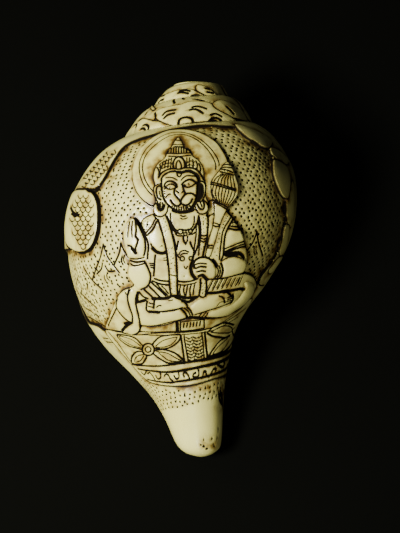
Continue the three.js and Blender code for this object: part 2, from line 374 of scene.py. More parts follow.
def spaced(line: np.ndarray, scale: np.ndarray, gap: float, closed: bool) -> np.ndarray:
    """The line again, with points an even gap apart.

    Args:
        line: Chart points.
        scale: Millimetres for a unit of the chart at each of them.
        gap: The gap in millimetres.
        closed: Whether the line returns to its start.

    Returns:
        Chart points.
    """
    if closed:
        line, scale = np.vstack([line, line[:1]]), np.append(scale, scale[0])
    length = np.linalg.norm(np.diff(line, axis=0), axis=1) * (scale[1:] + scale[:-1]) / 2
    run = np.concatenate([[0], np.cumsum(length)])
    count = max(int(round(run[-1] / gap)), 2)
    at = np.linspace(0, run[-1], count + 1)
    if closed:
        at = np.linspace(0, run[-1], count, endpoint=False)
    return np.stack([np.interp(at, run, line[:, 0]), np.interp(at, run, line[:, 1])], axis=1)


def distance(points: np.ndarray, line: np.ndarray, closed: bool) -> np.ndarray:
    """Distance in the chart from points to a line of straight pieces."""
    if len(line) == 1:
        return np.linalg.norm(points - line[0], axis=1)
    a = line if closed else line[:-1]
    b = np.roll(line, -1, axis=0) if closed else line[1:]
    along = b - a
    square = np.maximum((along**2).sum(1), 1e-18)
    rel = points[:, None, :] - a[None]
    share = np.clip((rel * along[None]).sum(2) / square[None], 0, 1)
    return np.sqrt(((rel - share[..., None] * along[None]) ** 2).sum(2).min(1))


def inside(points: np.ndarray, outline: np.ndarray) -> np.ndarray:
    """Which points lie inside a closed outline."""
    x, y = points[:, 0], points[:, 1]
    result = np.zeros(len(points), bool)
    for a, b in zip(outline, np.roll(outline, -1, axis=0)):
        crosses = (a[1] > y) != (b[1] > y)
        if crosses.any():
            at = a[0] + (y - a[1]) * (b[0] - a[0]) / (b[1] - a[1] if b[1] != a[1] else 1e-12)
            result ^= crosses & (x < at)
    return result


class Nearby:
    """Finds which of many chart points lie near a path."""

    def __init__(self, spots: np.ndarray) -> None:
        """Sort the points by their growth angle."""
        self.spots = spots
        self.order = np.argsort(spots[:, 0])
        self.angles = spots[self.order, 0]

    def find(self, path: np.ndarray, reach: float) -> np.ndarray:
        """Numbers of the points within reach of the box round a path, both in the chart's units."""
        low, high = path.min(0), path.max(0)
        first = np.searchsorted(self.angles, low[0] - reach)
        last = np.searchsorted(self.angles, high[0] + reach)
        chosen = self.order[first:last]
        v = self.spots[chosen, 1]
        return chosen[(v > low[1] - reach) & (v < high[1] + reach)]


class Line(Enum):
    """The carver's cuts: half the width and the depth, in millimetres, and how much ink stays in them."""

    HAIR = (0.20, 0.10, 0.8)
    FINE = (0.25, 0.16, 0.95)
    PLAIN = (0.31, 0.24, 1.0)
    BOLD = (0.42, 0.34, 1.0)
    STROKE = (0.56, 0.42, 1.0)
    GOUGE = (0.72, 0.5, 1.0)


@dataclass
class Cut:
    """A cut along a line on the skin, which may be the line along the foot of a step."""

    path: np.ndarray
    half: float
    depth: float
    ink: float
    closed: bool = False
    foot: bool = False


@dataclass
class Level:
    """A part of the skin that stands higher or lower than the rest.

    Lengths are in millimetres: its height, the width of its edge, how much it bulges and over what reach,
    and half the width of the line along its foot. The stain, dirt together with painted shade at the foot of
    the step, lies outside a raised edge and inside a sunk one; foot is how dark the line is, and tint is the
    stain far from the edge.
    """

    outline: np.ndarray
    height: float
    edge: float = 0.5
    bulge: float = 0.0
    reach: float = 2.0
    raised: bool = True
    stain: float = 0.7
    foot: float = 0.8
    foot_half: float = 0.3
    tint: float = 0.0


@dataclass
class Carving:
    """Everything that is carved, in the chart's own points."""

    chart: Chart
    seer: Seer
    levels: list[Level] = field(default_factory=list)
    cuts: list[Cut] = field(default_factory=list)
    dots: list[tuple[float, float, float]] = field(default_factory=list)

    def seen(self, pixels: Points) -> np.ndarray:
        """Chart points under pixels of the photograph."""
        return self.seer.find(pixels)

    def placed(self, places: Points) -> np.ndarray:
        """Chart points of places given as (growth angle in degrees, place along the outline)."""
        spots = np.asarray(places, float)
        return np.stack([np.radians(spots[:, 0]), self.chart.v(spots[:, 1])], axis=1)

    def scale(self, line: np.ndarray) -> np.ndarray:
        """Millimetres for a unit of the chart along a line."""
        return self.chart.scale(line[:, 0], line[:, 1])

    def engrave(self, path: np.ndarray, line: Line, closed: bool = False) -> None:
        """Cut a smooth line through the chart's points.

        Args:
            path: The points that it passes through.
            line: How wide and deep it is.
            closed: Whether it returns to its start.
        """
        path = spline(path, closed)
        self.cuts.append(Cut(spaced(path, self.scale(path), CUT_GAP, closed), *line.value, closed))

    def raise_level(
        self, outline: np.ndarray, height: float, straight: bool = False, **looks: float
    ) -> None:
        """Raise or lower what is inside an outline, with a dark line along the foot of its step.

        Args:
            outline: The outline's points in the chart.
            height: How high it stands, in millimetres.
            straight: Whether the outline keeps its corners.
            **looks: What else the level is given.
        """
        path = outline if straight else spline(outline, True, 5)
        path = spaced(path, self.scale(path), STEP_GAP, True)
        level = Level(path, height, **looks)
        self.levels.append(level)
        self.cover(path)
        if level.foot > 0:
            self.cuts.append(Cut(path, level.foot_half, FOOT_DEPTH, level.foot, True, True))

    def cover(self, outline: np.ndarray) -> None:
        """Take away what an outline covers of the lines along the feet of earlier levels."""
        kept = []
        for cut in self.cuts:
            if not cut.foot:
                kept.append(cut)
                continue
            clear = ~inside(cut.path, outline)
            if clear.all():
                kept.append(cut)
                continue
            breaks = np.flatnonzero(np.diff(clear.astype(int))) + 1
            for run in np.split(np.arange(len(clear)), breaks):
                if clear[run[0]] and len(run) > 2:
                    kept.append(Cut(cut.path[run], cut.half, cut.depth, cut.ink, False, True))
        self.cuts = kept

    def dot(self, spots: np.ndarray, radius: float) -> None:
        """Prick dots at the chart's points."""
        self.dots += [(u, v, radius) for u, v in spots]

    def metric(self, spots: np.ndarray) -> np.ndarray:
        """What small steps of the chart measure on the skin: a 2 by 2 matrix for each spot."""
        step = 1e-4
        skin = self.chart.growth.skin
        here = skin(spots[:, 0], self.chart.p(spots[:, 1]))
        turned = skin(spots[:, 0] + step, self.chart.p(spots[:, 1]))
        lower = skin(spots[:, 0], self.chart.p(spots[:, 1] + step))
        slopes = np.stack([turned - here, lower - here], axis=2) / step
        return np.einsum("nki,nkj->nij", slopes, slopes)

    def relief(self, spots: np.ndarray) -> tuple[np.ndarray, np.ndarray, np.ndarray]:
        """How the carving changes the skin.

        Args:
            spots: Chart points.

        Returns:
            The height in millimetres, the ink, and the stain with its painted shade at each of them.
        """
        count = len(spots)
        scale = self.chart.scale(spots[:, 0], spots[:, 1])
        height, stain = np.zeros(count), np.zeros(count)
        nearby = Nearby(spots)
        for level in self.levels:
            chosen = nearby.find(level.outline, self.units(level.outline, LEVEL_MARGIN))
            if not len(chosen):
                continue
            away = distance(spots[chosen], level.outline, True) * scale[chosen]
            away = np.where(inside(spots[chosen], level.outline), away, -away)
            share = smooth(away, -level.edge / 2, level.edge / 2)
            top = level.height + level.bulge * (1 - np.exp(-np.maximum(away, 0) / level.reach))
            height[chosen] = height[chosen] * (1 - share) + top * share
            # stain and painted shade: brown beside the foot of a step, outside a raised edge and inside a
            # sunk one
            if level.raised:
                fade = np.exp(-np.maximum(-away, 0) / STAIN_AND_SHADE_REACH)
                stain[chosen] = np.where(away > 0, stain[chosen] * (1 - share), stain[chosen])
                stain[chosen] = np.maximum(stain[chosen], level.stain * fade * (away <= 0))
            else:
                fade = level.tint + (level.stain - level.tint) * np.exp(-np.maximum(away, 0) / STAIN_AND_SHADE_REACH)
                stain[chosen] = np.maximum(stain[chosen], fade * share)
        deep, ink = np.zeros(count), np.zeros(count)
        for cut in self.cuts:
            chosen = nearby.find(cut.path, self.units(cut.path, cut.half + CUT_MARGIN))
            if not len(chosen):
                continue
            away = distance(spots[chosen], cut.path, cut.closed) * scale[chosen] / cut.half
            deep[chosen] = np.maximum(deep[chosen], cut.depth * np.clip(1 - away**2, 0, 1) ** 1.5)
            ink[chosen] = np.maximum(ink[chosen], cut.ink * (1 - smooth(away, *CUT_INK_EDGE)))
            # brown beside a cut: painted shade along its groove, together with dirt
            fade = CUT_STAIN_AND_SHADE * cut.ink * np.exp(-np.maximum(away - 1, 0) * cut.half / CUT_STAIN_AND_SHADE_REACH)
            stain[chosen] = np.maximum(stain[chosen], fade)
        table = np.array(self.dots)
        for (u, v, radius), metric in zip(table, self.metric(table[:, :2])):
            spot = np.array([[u, v]])
            chosen = nearby.find(spot, self.units(spot, radius * DOT_MARGIN))
            away = spots[chosen] - (u, v)
            away = np.sqrt(np.einsum("ni,ij,nj->n", away, metric, away)) / radius
            deep[chosen] = np.maximum(deep[chosen], DOT_DEPTH * radius * np.clip(1 - away**2, 0, 1))
            ink[chosen] = np.maximum(ink[chosen], 1 - smooth(away, *DOT_INK_EDGE))
        return height - deep, ink, stain

    def units(self, path: np.ndarray, margin: float) -> float:
        """A margin in millimetres in the chart's units, where they are smallest on a path."""
        return margin / max(self.scale(path).min(), LEAST_SCALE)

    def longer(self, path: np.ndarray, more: float) -> np.ndarray:
        """Carry an open line on past both its ends by some millimetres."""
        ends = []
        for last, before in ((path[0], path[1]), (path[-1], path[-2])):
            along = last - before
            along = along / max(float(np.linalg.norm(along)), 1e-9) / float(self.scale(last[None])[0])
            ends.append(last + along * more)
        return np.concatenate([ends[:1], path, ends[1:]])

    def guides(self) -> np.ndarray:
        """Chart points along every cut, step and dot, close enough to draw them crisply."""
        table = np.array(self.dots)
        spread = np.linalg.inv(np.linalg.cholesky(self.metric(table[:, :2]))).transpose(0, 2, 1)
        parts = [table[:, :2]]
        for share, count in DOT_RINGS:
            turn = np.arange(count) * TURN / count
            ring = share * np.stack([np.cos(turn), np.sin(turn)])
            offsets = (spread @ ring * table[:, 2, None, None]).transpose(0, 2, 1)
            parts.append((table[:, None, :2] + offsets).reshape(-1, 2))
        rows = []
        for cut in self.cuts:
            path = cut.path if cut.closed else self.longer(cut.path, CUT_CAP * cut.half)
            shares = FOOT_ROWS if cut.foot else CUT_ROWS
            rows.append((path, cut.closed, cut.half * np.array(shares)))
        for level in self.levels:
            rows.append((level.outline, True, level.edge * np.array(STEP_ROWS)))
        first_level = len(self.cuts)
        for number, (path, closed, offsets) in enumerate(rows):
            if closed:
                along = np.roll(path, -1, axis=0) - np.roll(path, 1, axis=0)
            else:
                along = np.gradient(path, axis=0)
            across = np.stack([-along[:, 1], along[:, 0]], axis=1)
            across /= np.maximum(np.linalg.norm(across, axis=1, keepdims=True), 1e-12)
            across /= self.scale(path)[:, None]
            shown = np.ones(len(path), bool)
            if number >= first_level:
                for later in self.levels[number - first_level + 1 :]:
                    shown &= ~inside(path, later.outline)
            parts += [(path + across * offset)[shown] for offset in offsets]
        return np.concatenate(parts)


@dataclass
class Skin:
    """A surface laid out in rows round the coil, with what it needs to be closed."""

    points: np.ndarray
    faces: np.ndarray
    first: np.ndarray
    last: np.ndarray
    top: np.ndarray
    bottom: np.ndarray


def outward(name: str, points: np.ndarray, faces: np.ndarray) -> bpy.types.Mesh:
    """A mesh of closed faces, turned right side out."""
    a, b, c = (points[faces[:, n]] for n in range(3))
    if (np.cross(a, b) * c).sum() < 0:
        faces = faces[:, ::-1]
    mesh = bpy.data.meshes.new(name)
    mesh.from_pydata(points.tolist(), [], faces.tolist())
    return mesh


def fan(peak: int, rim: np.ndarray) -> np.ndarray:
    """Triangles from one point to each edge of a rim."""
    return np.stack([np.full(len(rim) - 1, peak), rim[:-1], rim[1:]], axis=1)


def closed_mesh(name: str, skin: Skin, top: float, bottom: float) -> bpy.types.Mesh:
    """Close a slice of the coil down to its axis.

    Args:
        name: The mesh's name.
        skin: The slice's surface and the point numbers along its four edges.
        top: How far down the axis the solid begins.
        bottom: How far down the axis it ends.

    Returns:
        A closed mesh, right side out.
    """
    count = len(skin.points)
    middle = (top + bottom) / 2
    points = np.vstack([skin.points, [[0, -top, 0], [0, -middle, 0], [0, -bottom, 0]]])
    north, centre, south = count, count + 1, count + 2
    first = np.concatenate([[north], skin.first, [south]])
    last = np.concatenate([[north], skin.last, [south]])
    caps = [fan(north, skin.top), fan(south, skin.bottom[::-1])]
    ends = [fan(centre, first)[:, ::-1], fan(centre, last)]
    return outward(name, points, np.concatenate([skin.faces, *caps, *ends]))


def rows(points: np.ndarray) -> Skin:
    """The skin of a regular net of points, whose first index goes round the coil."""
    rings, places = points.shape[:2]
    number = np.arange(rings * places).reshape(rings, places)
    a, b = number[:-1, :-1].ravel(), number[:-1, 1:].ravel()
    c, d = number[1:, :-1].ravel(), number[1:, 1:].ravel()
    faces = np.concatenate([np.stack([a, b, c], axis=1), np.stack([b, d, c], axis=1)])
    return Skin(points.reshape(-1, 3), faces, number[0], number[-1], number[:, 0], number[:, -1])


def put(mesh: bpy.types.Mesh) -> bpy.types.Object:
    """Show a mesh as an object of the scene."""
    made = bpy.data.objects.new(mesh.name, mesh)
    bpy.context.scene.collection.objects.link(made)
    return made


def evaluated(target: bpy.types.Object) -> bpy.types.Mesh:
    """The plain mesh that an object's modifiers make."""
    graph = bpy.context.evaluated_depsgraph_get()
    return bpy.data.meshes.new_from_object(target.evaluated_get(graph))


def mesh_of(made: bpy.types.Object) -> bpy.types.Mesh:
    """The object's mesh, without the object."""
    mesh = made.data
    bpy.data.objects.remove(made)
    return mesh


def combine(target: bpy.types.Object, other: bpy.types.Mesh, operation: str) -> None:
    """Join a solid to another, or cut it by one.

    Args:
        target: The object that is changed.
        other: The mesh that changes it.
        operation: UNION, DIFFERENCE or INTERSECT.
    """
    tool = put(other)
    modifier = target.modifiers.new("combine", "BOOLEAN")
    modifier.operation = operation
    modifier.solver = "MANIFOLD"
    modifier.object = tool
    made = evaluated(target)
    target.modifiers.remove(modifier)
    before = target.data
    target.data = made
    bpy.data.objects.remove(tool)
    bpy.data.meshes.remove(other)
    bpy.data.meshes.remove(before)
    log.info("%s: %d faces", operation, len(made.polygons))


@dataclass
class Outside:
    """The shell's solid form with its carved skin."""

    growth: Growth
    chart: Chart
    carving: Carving
    # gaps between mesh points, in millimetres: where nothing is carved, and the least one
    plain_gap: float = 2.6
    least_gap: float = 0.18
    # plain points stay this share of their gap away from the carving's, and their rows are this close
    clear_share: float = 0.6
    row_share: float = 0.87
    lip_round: float = 2.0
    # angle of the strips at the ends of a slice, and of the steps along its edges
    strip: float = math.radians(1.0)
    edge_step: float = math.radians(2.5)
    # places between two points of an end, and how far free points stay off the edges of the chart's part
    row_gap: float = 0.2
    edge_margin: float = 0.004
    # points are thinned out on a grid whose cells follow the scale in steps: the step of its logarithm,
    # and the scale that the steps are counted from
    scale_step: float = 0.25
    scale_start: float = 30.0
    guides: np.ndarray = field(default_factory=lambda: np.zeros((0, 2)))
    # where the slices of the coil meet, in degrees of growth; how far down the outline each of them goes
    cuts: tuple[tuple[float, float, float], ...] = (
        (-250, 0, 18.0),
        (-370, -249, 18.0),
        (-620, -369, 7.2),
        (-730, -619, 7.2),
        (-980, -729, 7.2),
        (-1090, -979, 7.2),
        (-1260, -1089, 7.2),
    )

    def spots(self, low: float, high: float, end: float) -> tuple[np.ndarray, np.ndarray, Skin]:
        """Lay points over a rectangle of the chart and join them.

        Args:
            low: The growth angle where it starts.
            high: The growth angle where it ends.
            end: The last place along the outline.

        Returns:
            The chart points, and a skin whose points are still empty.
        """
        chart = self.chart
        places = chart.v(np.round(np.arange(0, end + self.row_gap / 2, self.row_gap), 6))
        low, high = round(low, 7), round(high, 7)
        inner = (round(low + self.strip, 7), round(high - self.strip, 7))
        steps = max(int(round((inner[1] - inner[0]) / self.edge_step)), 2)
        along = np.linspace(inner[0], inner[1], steps + 1)
        ends = [np.stack([np.full(len(places), u), places], axis=1) for u in (low, *inner, high)]
        edges = [np.stack([along[1:-1], np.full(steps - 1, v)], axis=1) for v in (places[0], places[-1])]
        border = np.concatenate([ends[1], ends[2], *edges])
        margin = self.edge_margin
        free = self.fill(inner, places[-1])
        free = free[
            (free[:, 0] > inner[0] + margin)
            & (free[:, 0] < inner[1] - margin)
            & (free[:, 1] > margin)
            & (free[:, 1] < places[-1] - margin)
        ]
        spots = np.concatenate([border, free])
        joined = delaunay_2d_cdt([Vector(spot) for spot in spots], [], [], 0, 1e-7, False)
        faces = np.array(joined[2])
        if len(joined[0]) != len(spots):
            raise ValueError("points of the skin fell together")
        count, n = len(spots), len(places)
        spots = np.concatenate([spots, ends[0], ends[3]])
        first, last = np.arange(count, count + n), np.arange(count + n, count + 2 * n)
        second, third = np.arange(n), np.arange(n, 2 * n)
        a, b, c = (spots[faces[:, k]] for k in range(3))
        turned = (b[:, 0] - a[:, 0]) * (c[:, 1] - a[:, 1]) - (b[:, 1] - a[:, 1]) * (c[:, 0] - a[:, 0]) > 0
        faces = np.where(turned[:, None], faces[:, ::-1], faces)
        for left, right in ((first, second), (third, last)):
            faces = np.concatenate(
                [
                    faces,
                    np.stack([left[:-1], left[1:], right[:-1]], axis=1),
                    np.stack([left[1:], right[1:], right[:-1]], axis=1),
                ]
            )
        middle = 2 * n + np.arange(steps - 1)
        top = np.concatenate([[first[0], second[0]], middle, [third[0], last[0]]])
        bottom = np.concatenate([[first[-1], second[-1]], middle + steps - 1, [third[-1], last[-1]]])
        return spots, faces, Skin(np.zeros((0, 3)), faces, first, last, top, bottom)

    def fill(self, inner: tuple[float, float], end: float) -> np.ndarray:
        """Points inside a rectangle of the chart: close along the carving, wide apart elsewhere."""
        guides = self.guides
        guides = guides[((guides > (inner[0], 0)) & (guides < (inner[1], end))).all(1)]
        scale = self.chart.scale(guides[:, 0], guides[:, 1])
        level = np.round(np.log(scale / self.scale_start) / self.scale_step)
        cell = np.exp(level * self.scale_step) * self.scale_start
        keys = np.column_stack([np.round(guides * cell[:, None] / self.least_gap), np.round(cell * 10)])
        _, kept = np.unique(keys.astype(np.int64), axis=0, return_index=True)
        guides = guides[np.sort(kept)]
        coarse = []
        v = 0.0
        flip = False
        while v < end:
            u = inner[0]
            row = []
            step_v = self.plain_step(inner[1], v)
            while u < inner[1]:
                step = self.plain_step(u, v)
                row.append((u + (step / 2 if flip else 0), v))
                u += step
            coarse += row
            v += step_v * self.row_share
            flip = not flip
        coarse = np.array(coarse)
        if len(guides):
            tree = tree_of(guides)
            scale = np.maximum(self.chart.scale(coarse[:, 0], coarse[:, 1]), LEAST_SCALE)
            away = np.array([tree.find((u, v, 0))[2] for u, v in coarse]) * scale
            coarse = coarse[away > self.clear_share * self.plain_gap]
        return np.concatenate([guides, coarse])

    def plain_step(self, u: float, v: float) -> float:
        """The gap of the uncarved skin in the chart's units, at a point of the chart."""
        return self.plain_gap / max(float(self.chart.scale(np.array(u), np.array(v))), LEAST_SCALE)

    def surface(self, spots: np.ndarray) -> tuple[np.ndarray, np.ndarray, np.ndarray]:
        """Points of the carved skin, with their ink and their stain, which is dirt and painted shade."""
        t, p = spots[:, 0], self.chart.p(spots[:, 1])
        height, ink, stain = self.carving.relief(spots)
        near_lip = np.clip(-t * self.chart.scale(t, spots[:, 1]), 0, self.lip_round)
        height = height - (self.lip_round - np.sqrt(self.lip_round**2 - (self.lip_round - near_lip) ** 2))
        radius, down = self.growth.section(t, p)
        points = self.growth.at(radius, down, t) + self.growth.normal(t, p) * height[:, None]
        return points, ink, stain

    def build(self) -> tuple[bpy.types.Object, np.ndarray, np.ndarray]:
        """Make the solid.

        Returns:
            The object, all points of its skin, and their ink and their stain with its painted shade.
        """
        made = None
        places, marks = [], []
        self.guides = self.carving.guides()
        for low, high, end in self.cuts:
            spots, faces, skin = self.spots(math.radians(low), math.radians(high), end)
            skin.points, ink, stain = self.surface(spots)
            places.append(skin.points)
            marks.append(np.stack([ink, stain], axis=1))
            mid = math.radians(low + high) / 2
            top, bottom = self.growth.section(np.full(2, mid), np.array([0.0, end]))[1].tolist()
            if end == self.growth.last:
                bottom = self.growth.tip_end
            mesh = closed_mesh("slice", skin, top, bottom)
            log.info("slice %d to %d: %d faces", low, high, len(faces))
            if made is None:
                made = put(mesh)
            else:
                combine(made, mesh, "UNION")
        return made, np.concatenate(places), np.concatenate(marks)


Value = bpy.types.NodeSocket | float | int | str | tuple


def add_node(
    tree: bpy.types.NodeTree,
    kind: str,
    settings: dict[str, object] | None = None,
    links: dict[str | int, Value] | None = None,
) -> bpy.types.Node:
    """Add a node to a tree.

    Args:
        tree: The tree that it is added to.
        kind: The node's type.
        settings: Values of its properties.
        links: What each of its inputs is linked from, or its value.

    Returns:
        The node.
    """
    made = tree.nodes.new(kind)
    for name, value in (settings or {}).items():
        setattr(made, name, value)
    for socket, value in (links or {}).items():
        if isinstance(value, bpy.types.NodeSocket):
            tree.links.new(value, made.inputs[socket])
        else:
            made.inputs[socket].default_value = value
    return made


def add_math(
    tree: bpy.types.NodeTree, operation: str, first: Value, second: Value = 0.0
) -> bpy.types.NodeSocket:
    """Add a sum of two numbers, and return its result."""
    return add_node(tree, "ShaderNodeMath", {"operation": operation}, {0: first, 1: second}).outputs[0]


class GrownSurface:
    """Geometry Nodes that turn an outline into a surface that grows round the axis."""

    def __init__(self, growth: Growth) -> None:
        """Build the node trees."""
        self.growth = growth
        self.place = self.place_tree()
        self.tree = self.surface_tree()

    def place_tree(self) -> bpy.types.NodeTree:
        """The tree that gives one place of the outline, grown to an angle."""
        tree = bpy.data.node_groups.new("grown_place", "GeometryNodeTree")
        sockets = (
            ("Outline", "INPUT", "NodeSocketGeometry"),
            ("Place", "INPUT", "NodeSocketInt"),
            ("Angle", "INPUT", "NodeSocketFloat"),
            ("Point", "OUTPUT", "NodeSocketVector"),
        )
        for name, way, kind in sockets:
            tree.interface.new_socket(name, in_out=way, socket_type=kind)
        given = add_node(tree, "NodeGroupInput")
        turns = add_math(tree, "DIVIDE", given.outputs["Angle"], TURN)
        position = add_node(tree, "GeometryNodeInputPosition")
        picked = {"Geometry": given.outputs["Outline"], "Index": given.outputs["Place"]}
        point = add_node(
            tree,
            "GeometryNodeSampleIndex",
            {"data_type": "FLOAT_VECTOR", "clamp": True},
            {**picked, "Value": position.outputs[0]},
        )
        parts = add_node(tree, "ShaderNodeSeparateXYZ", None, {0: point.outputs[0]})
        grown = []
        for name, part in (("share_radius", parts.outputs[0]), ("share_down", parts.outputs[1])):
            number = {"data_type": "FLOAT"}
            stored = add_node(tree, "GeometryNodeInputNamedAttribute", number, {"Name": name})
            share = add_node(
                tree,
                "GeometryNodeSampleIndex",
                {**number, "clamp": True},
                {**picked, "Value": stored.outputs[0]},
            )
            power = add_math(tree, "MULTIPLY", turns, share.outputs[0])
            factor = add_math(tree, "POWER", self.growth.per_turn, power)
            grown.append(add_math(tree, "MULTIPLY", part, factor))
        joined = add_node(tree, "ShaderNodeCombineXYZ", None, {0: grown[0], 1: grown[1]})
        add_node(tree, "NodeGroupOutput", None, {"Point": joined.outputs[0]})
        return tree

    def surface_tree(self) -> bpy.types.NodeTree:
        """The tree that lays the grown outline round the axis as a net of rings and places."""
        tree = bpy.data.node_groups.new("grown_surface", "GeometryNodeTree")
        sockets = (
            ("Outline", "INPUT", "NodeSocketGeometry"),
            ("First", "INPUT", "NodeSocketFloat"),
            ("Last", "INPUT", "NodeSocketFloat"),
            ("Rings", "INPUT", "NodeSocketInt"),
            ("Places", "INPUT", "NodeSocketInt"),
            ("Lag", "INPUT", "NodeSocketFloat"),
            ("Spread", "INPUT", "NodeSocketFloat"),
            ("Thinned", "INPUT", "NodeSocketFloat"),
            ("Finish", "INPUT", "NodeSocketMaterial"),
            ("Surface", "OUTPUT", "NodeSocketGeometry"),
        )
        for name, way, kind in sockets:
            tree.interface.new_socket(name, in_out=way, socket_type=kind)
        given = add_node(tree, "NodeGroupInput")
        outline, places, rings = (given.outputs[name] for name in ("Outline", "Places", "Rings"))
        net = add_node(tree, "GeometryNodeMeshGrid", None, {"Vertices X": rings, "Vertices Y": places})
        index = add_node(tree, "GeometryNodeInputIndex").outputs[0]
        shifted = add_math(tree, "ADD", index, 0.5)
        ring = add_math(tree, "FLOOR", add_math(tree, "DIVIDE", shifted, places))
        place = add_math(tree, "SUBTRACT", index, add_math(tree, "MULTIPLY", ring, places))
        share = add_math(tree, "DIVIDE", ring, add_math(tree, "SUBTRACT", rings, 1.0))
        reach = add_math(tree, "SUBTRACT", given.outputs["Last"], given.outputs["First"])
        angle = add_math(tree, "ADD", given.outputs["First"], add_math(tree, "MULTIPLY", reach, share))
        grown = add_math(tree, "SUBTRACT", angle, given.outputs["Lag"])
        found = []
        for step in (-1.0, 0.0, 1.0):
            links = {"Outline": outline, "Place": add_math(tree, "ADD", place, step), "Angle": grown}
            found.append(add_node(tree, "GeometryNodeGroup", {"node_tree": self.place}, links).outputs[0])
        ends = {0: found[2], 1: found[0]}
        along = add_node(tree, "ShaderNodeVectorMath", {"operation": "SUBTRACT"}, ends).outputs[0]
        along = add_node(tree, "ShaderNodeVectorMath", {"operation": "NORMALIZE"}, {0: along}).outputs[0]
        tangent = add_node(tree, "ShaderNodeSeparateXYZ", None, {0: along})
        number = {"data_type": "FLOAT"}
        stored = add_node(tree, "GeometryNodeInputNamedAttribute", number, {"Name": "offset"})
        offset = add_node(
            tree,
            "GeometryNodeSampleIndex",
            {**number, "clamp": True},
            {"Geometry": outline, "Value": stored.outputs[0], "Index": place},
        ).outputs[0]
        least = add_math(tree, "SUBTRACT", 1.0, given.outputs["Thinned"])
        links = {"Value": angle, "From Max": given.outputs["Spread"], "To Min": 1.0, "To Max": least}
        smoothed = {"interpolation_type": "SMOOTHSTEP"}
        thin = add_node(tree, "ShaderNodeMapRange", smoothed, links).outputs[0]
        away = add_math(tree, "MULTIPLY", offset, thin)
        here = add_node(tree, "ShaderNodeSeparateXYZ", None, {0: found[1]})
        outwards = add_math(tree, "MULTIPLY", tangent.outputs[1], away)
        radius = add_math(tree, "ADD", here.outputs[0], outwards)
        upwards = add_math(tree, "MULTIPLY", tangent.outputs[0], away)
        down = add_math(tree, "SUBTRACT", here.outputs[1], upwards)
        around = add_math(tree, "ADD", angle, self.growth.lip_below_left)
        flat = []
        for way in ("COSINE", "SINE"):
            part = add_math(tree, "MULTIPLY", radius, add_math(tree, way, around))
            flat.append(add_math(tree, "MULTIPLY", part, -1.0))
        links = {0: flat[0], 1: add_math(tree, "MULTIPLY", down, -1.0), 2: flat[1]}
        spot = add_node(tree, "ShaderNodeCombineXYZ", None, links)
        links = {"Geometry": net.outputs[0], "Position": spot.outputs[0]}
        moved = add_node(tree, "GeometryNodeSetPosition", None, links)
        real = add_node(tree, "GeometryNodeRealizeInstances", None, {"Geometry": moved.outputs[0]})
        links = {"Geometry": real.outputs[0], "Material": given.outputs["Finish"]}
        finished = add_node(tree, "GeometryNodeSetMaterial", None, links)
        add_node(tree, "NodeGroupOutput", None, {"Surface": finished.outputs[0]})
        return tree

    def grow(
        self,
        places: np.ndarray,
        offset: np.ndarray,
        reach: tuple[float, float, int],
        lag: float,
        thinned: tuple[float, float],
        finish: bpy.types.Material,
    ) -> np.ndarray:
        """Grow a surface.

        Args:
            places: Places along the outline.
            offset: How far out of the outline the surface is at each of them.
            reach: The first and the last angle, and the number of steps between them.
            lag: How much younger the outline is than the angle says.
            thinned: Over what angle past the lip the offset thins away, and by what share.
            finish: The material.

        Returns:
            Points, by ring and place.
        """
        zero = np.zeros_like(places)
        radius, down = self.growth.section(zero, places)
        table = np.array(self.growth.outline)
        mesh = bpy.data.meshes.new("outline")
        mesh.from_pydata(np.stack([radius, down, zero], axis=1).tolist(), [], [])
        shares = [np.interp(places, np.arange(len(table)), table[:, n]) for n in (2, 3)]
        for name, values in (("share_radius", shares[0]), ("share_down", shares[1]), ("offset", offset)):
            mesh.attributes.new(name, "FLOAT", "POINT").data.foreach_set("value", values)
        carrier = put(mesh)
        modifier = carrier.modifiers.new("grown", "NODES")
        modifier.node_group = self.tree
        values = {
            "First": reach[0],
            "Last": reach[1],
            "Rings": reach[2] + 1,
            "Places": len(places),
            "Lag": lag,
            "Spread": thinned[0],
            "Thinned": thinned[1],
            "Finish": finish,
        }
        for item in self.tree.interface.items_tree:
            if item.name in values and item.in_out == "INPUT":
                modifier[item.identifier] = values[item.name]
        made = evaluated(carrier)
        points = np.empty(len(made.vertices) * 3)
        made.vertices.foreach_get("co", points)
        bpy.data.objects.remove(carrier)
        bpy.data.meshes.remove(made)
        return points.reshape(reach[2] + 1, len(places), 3)


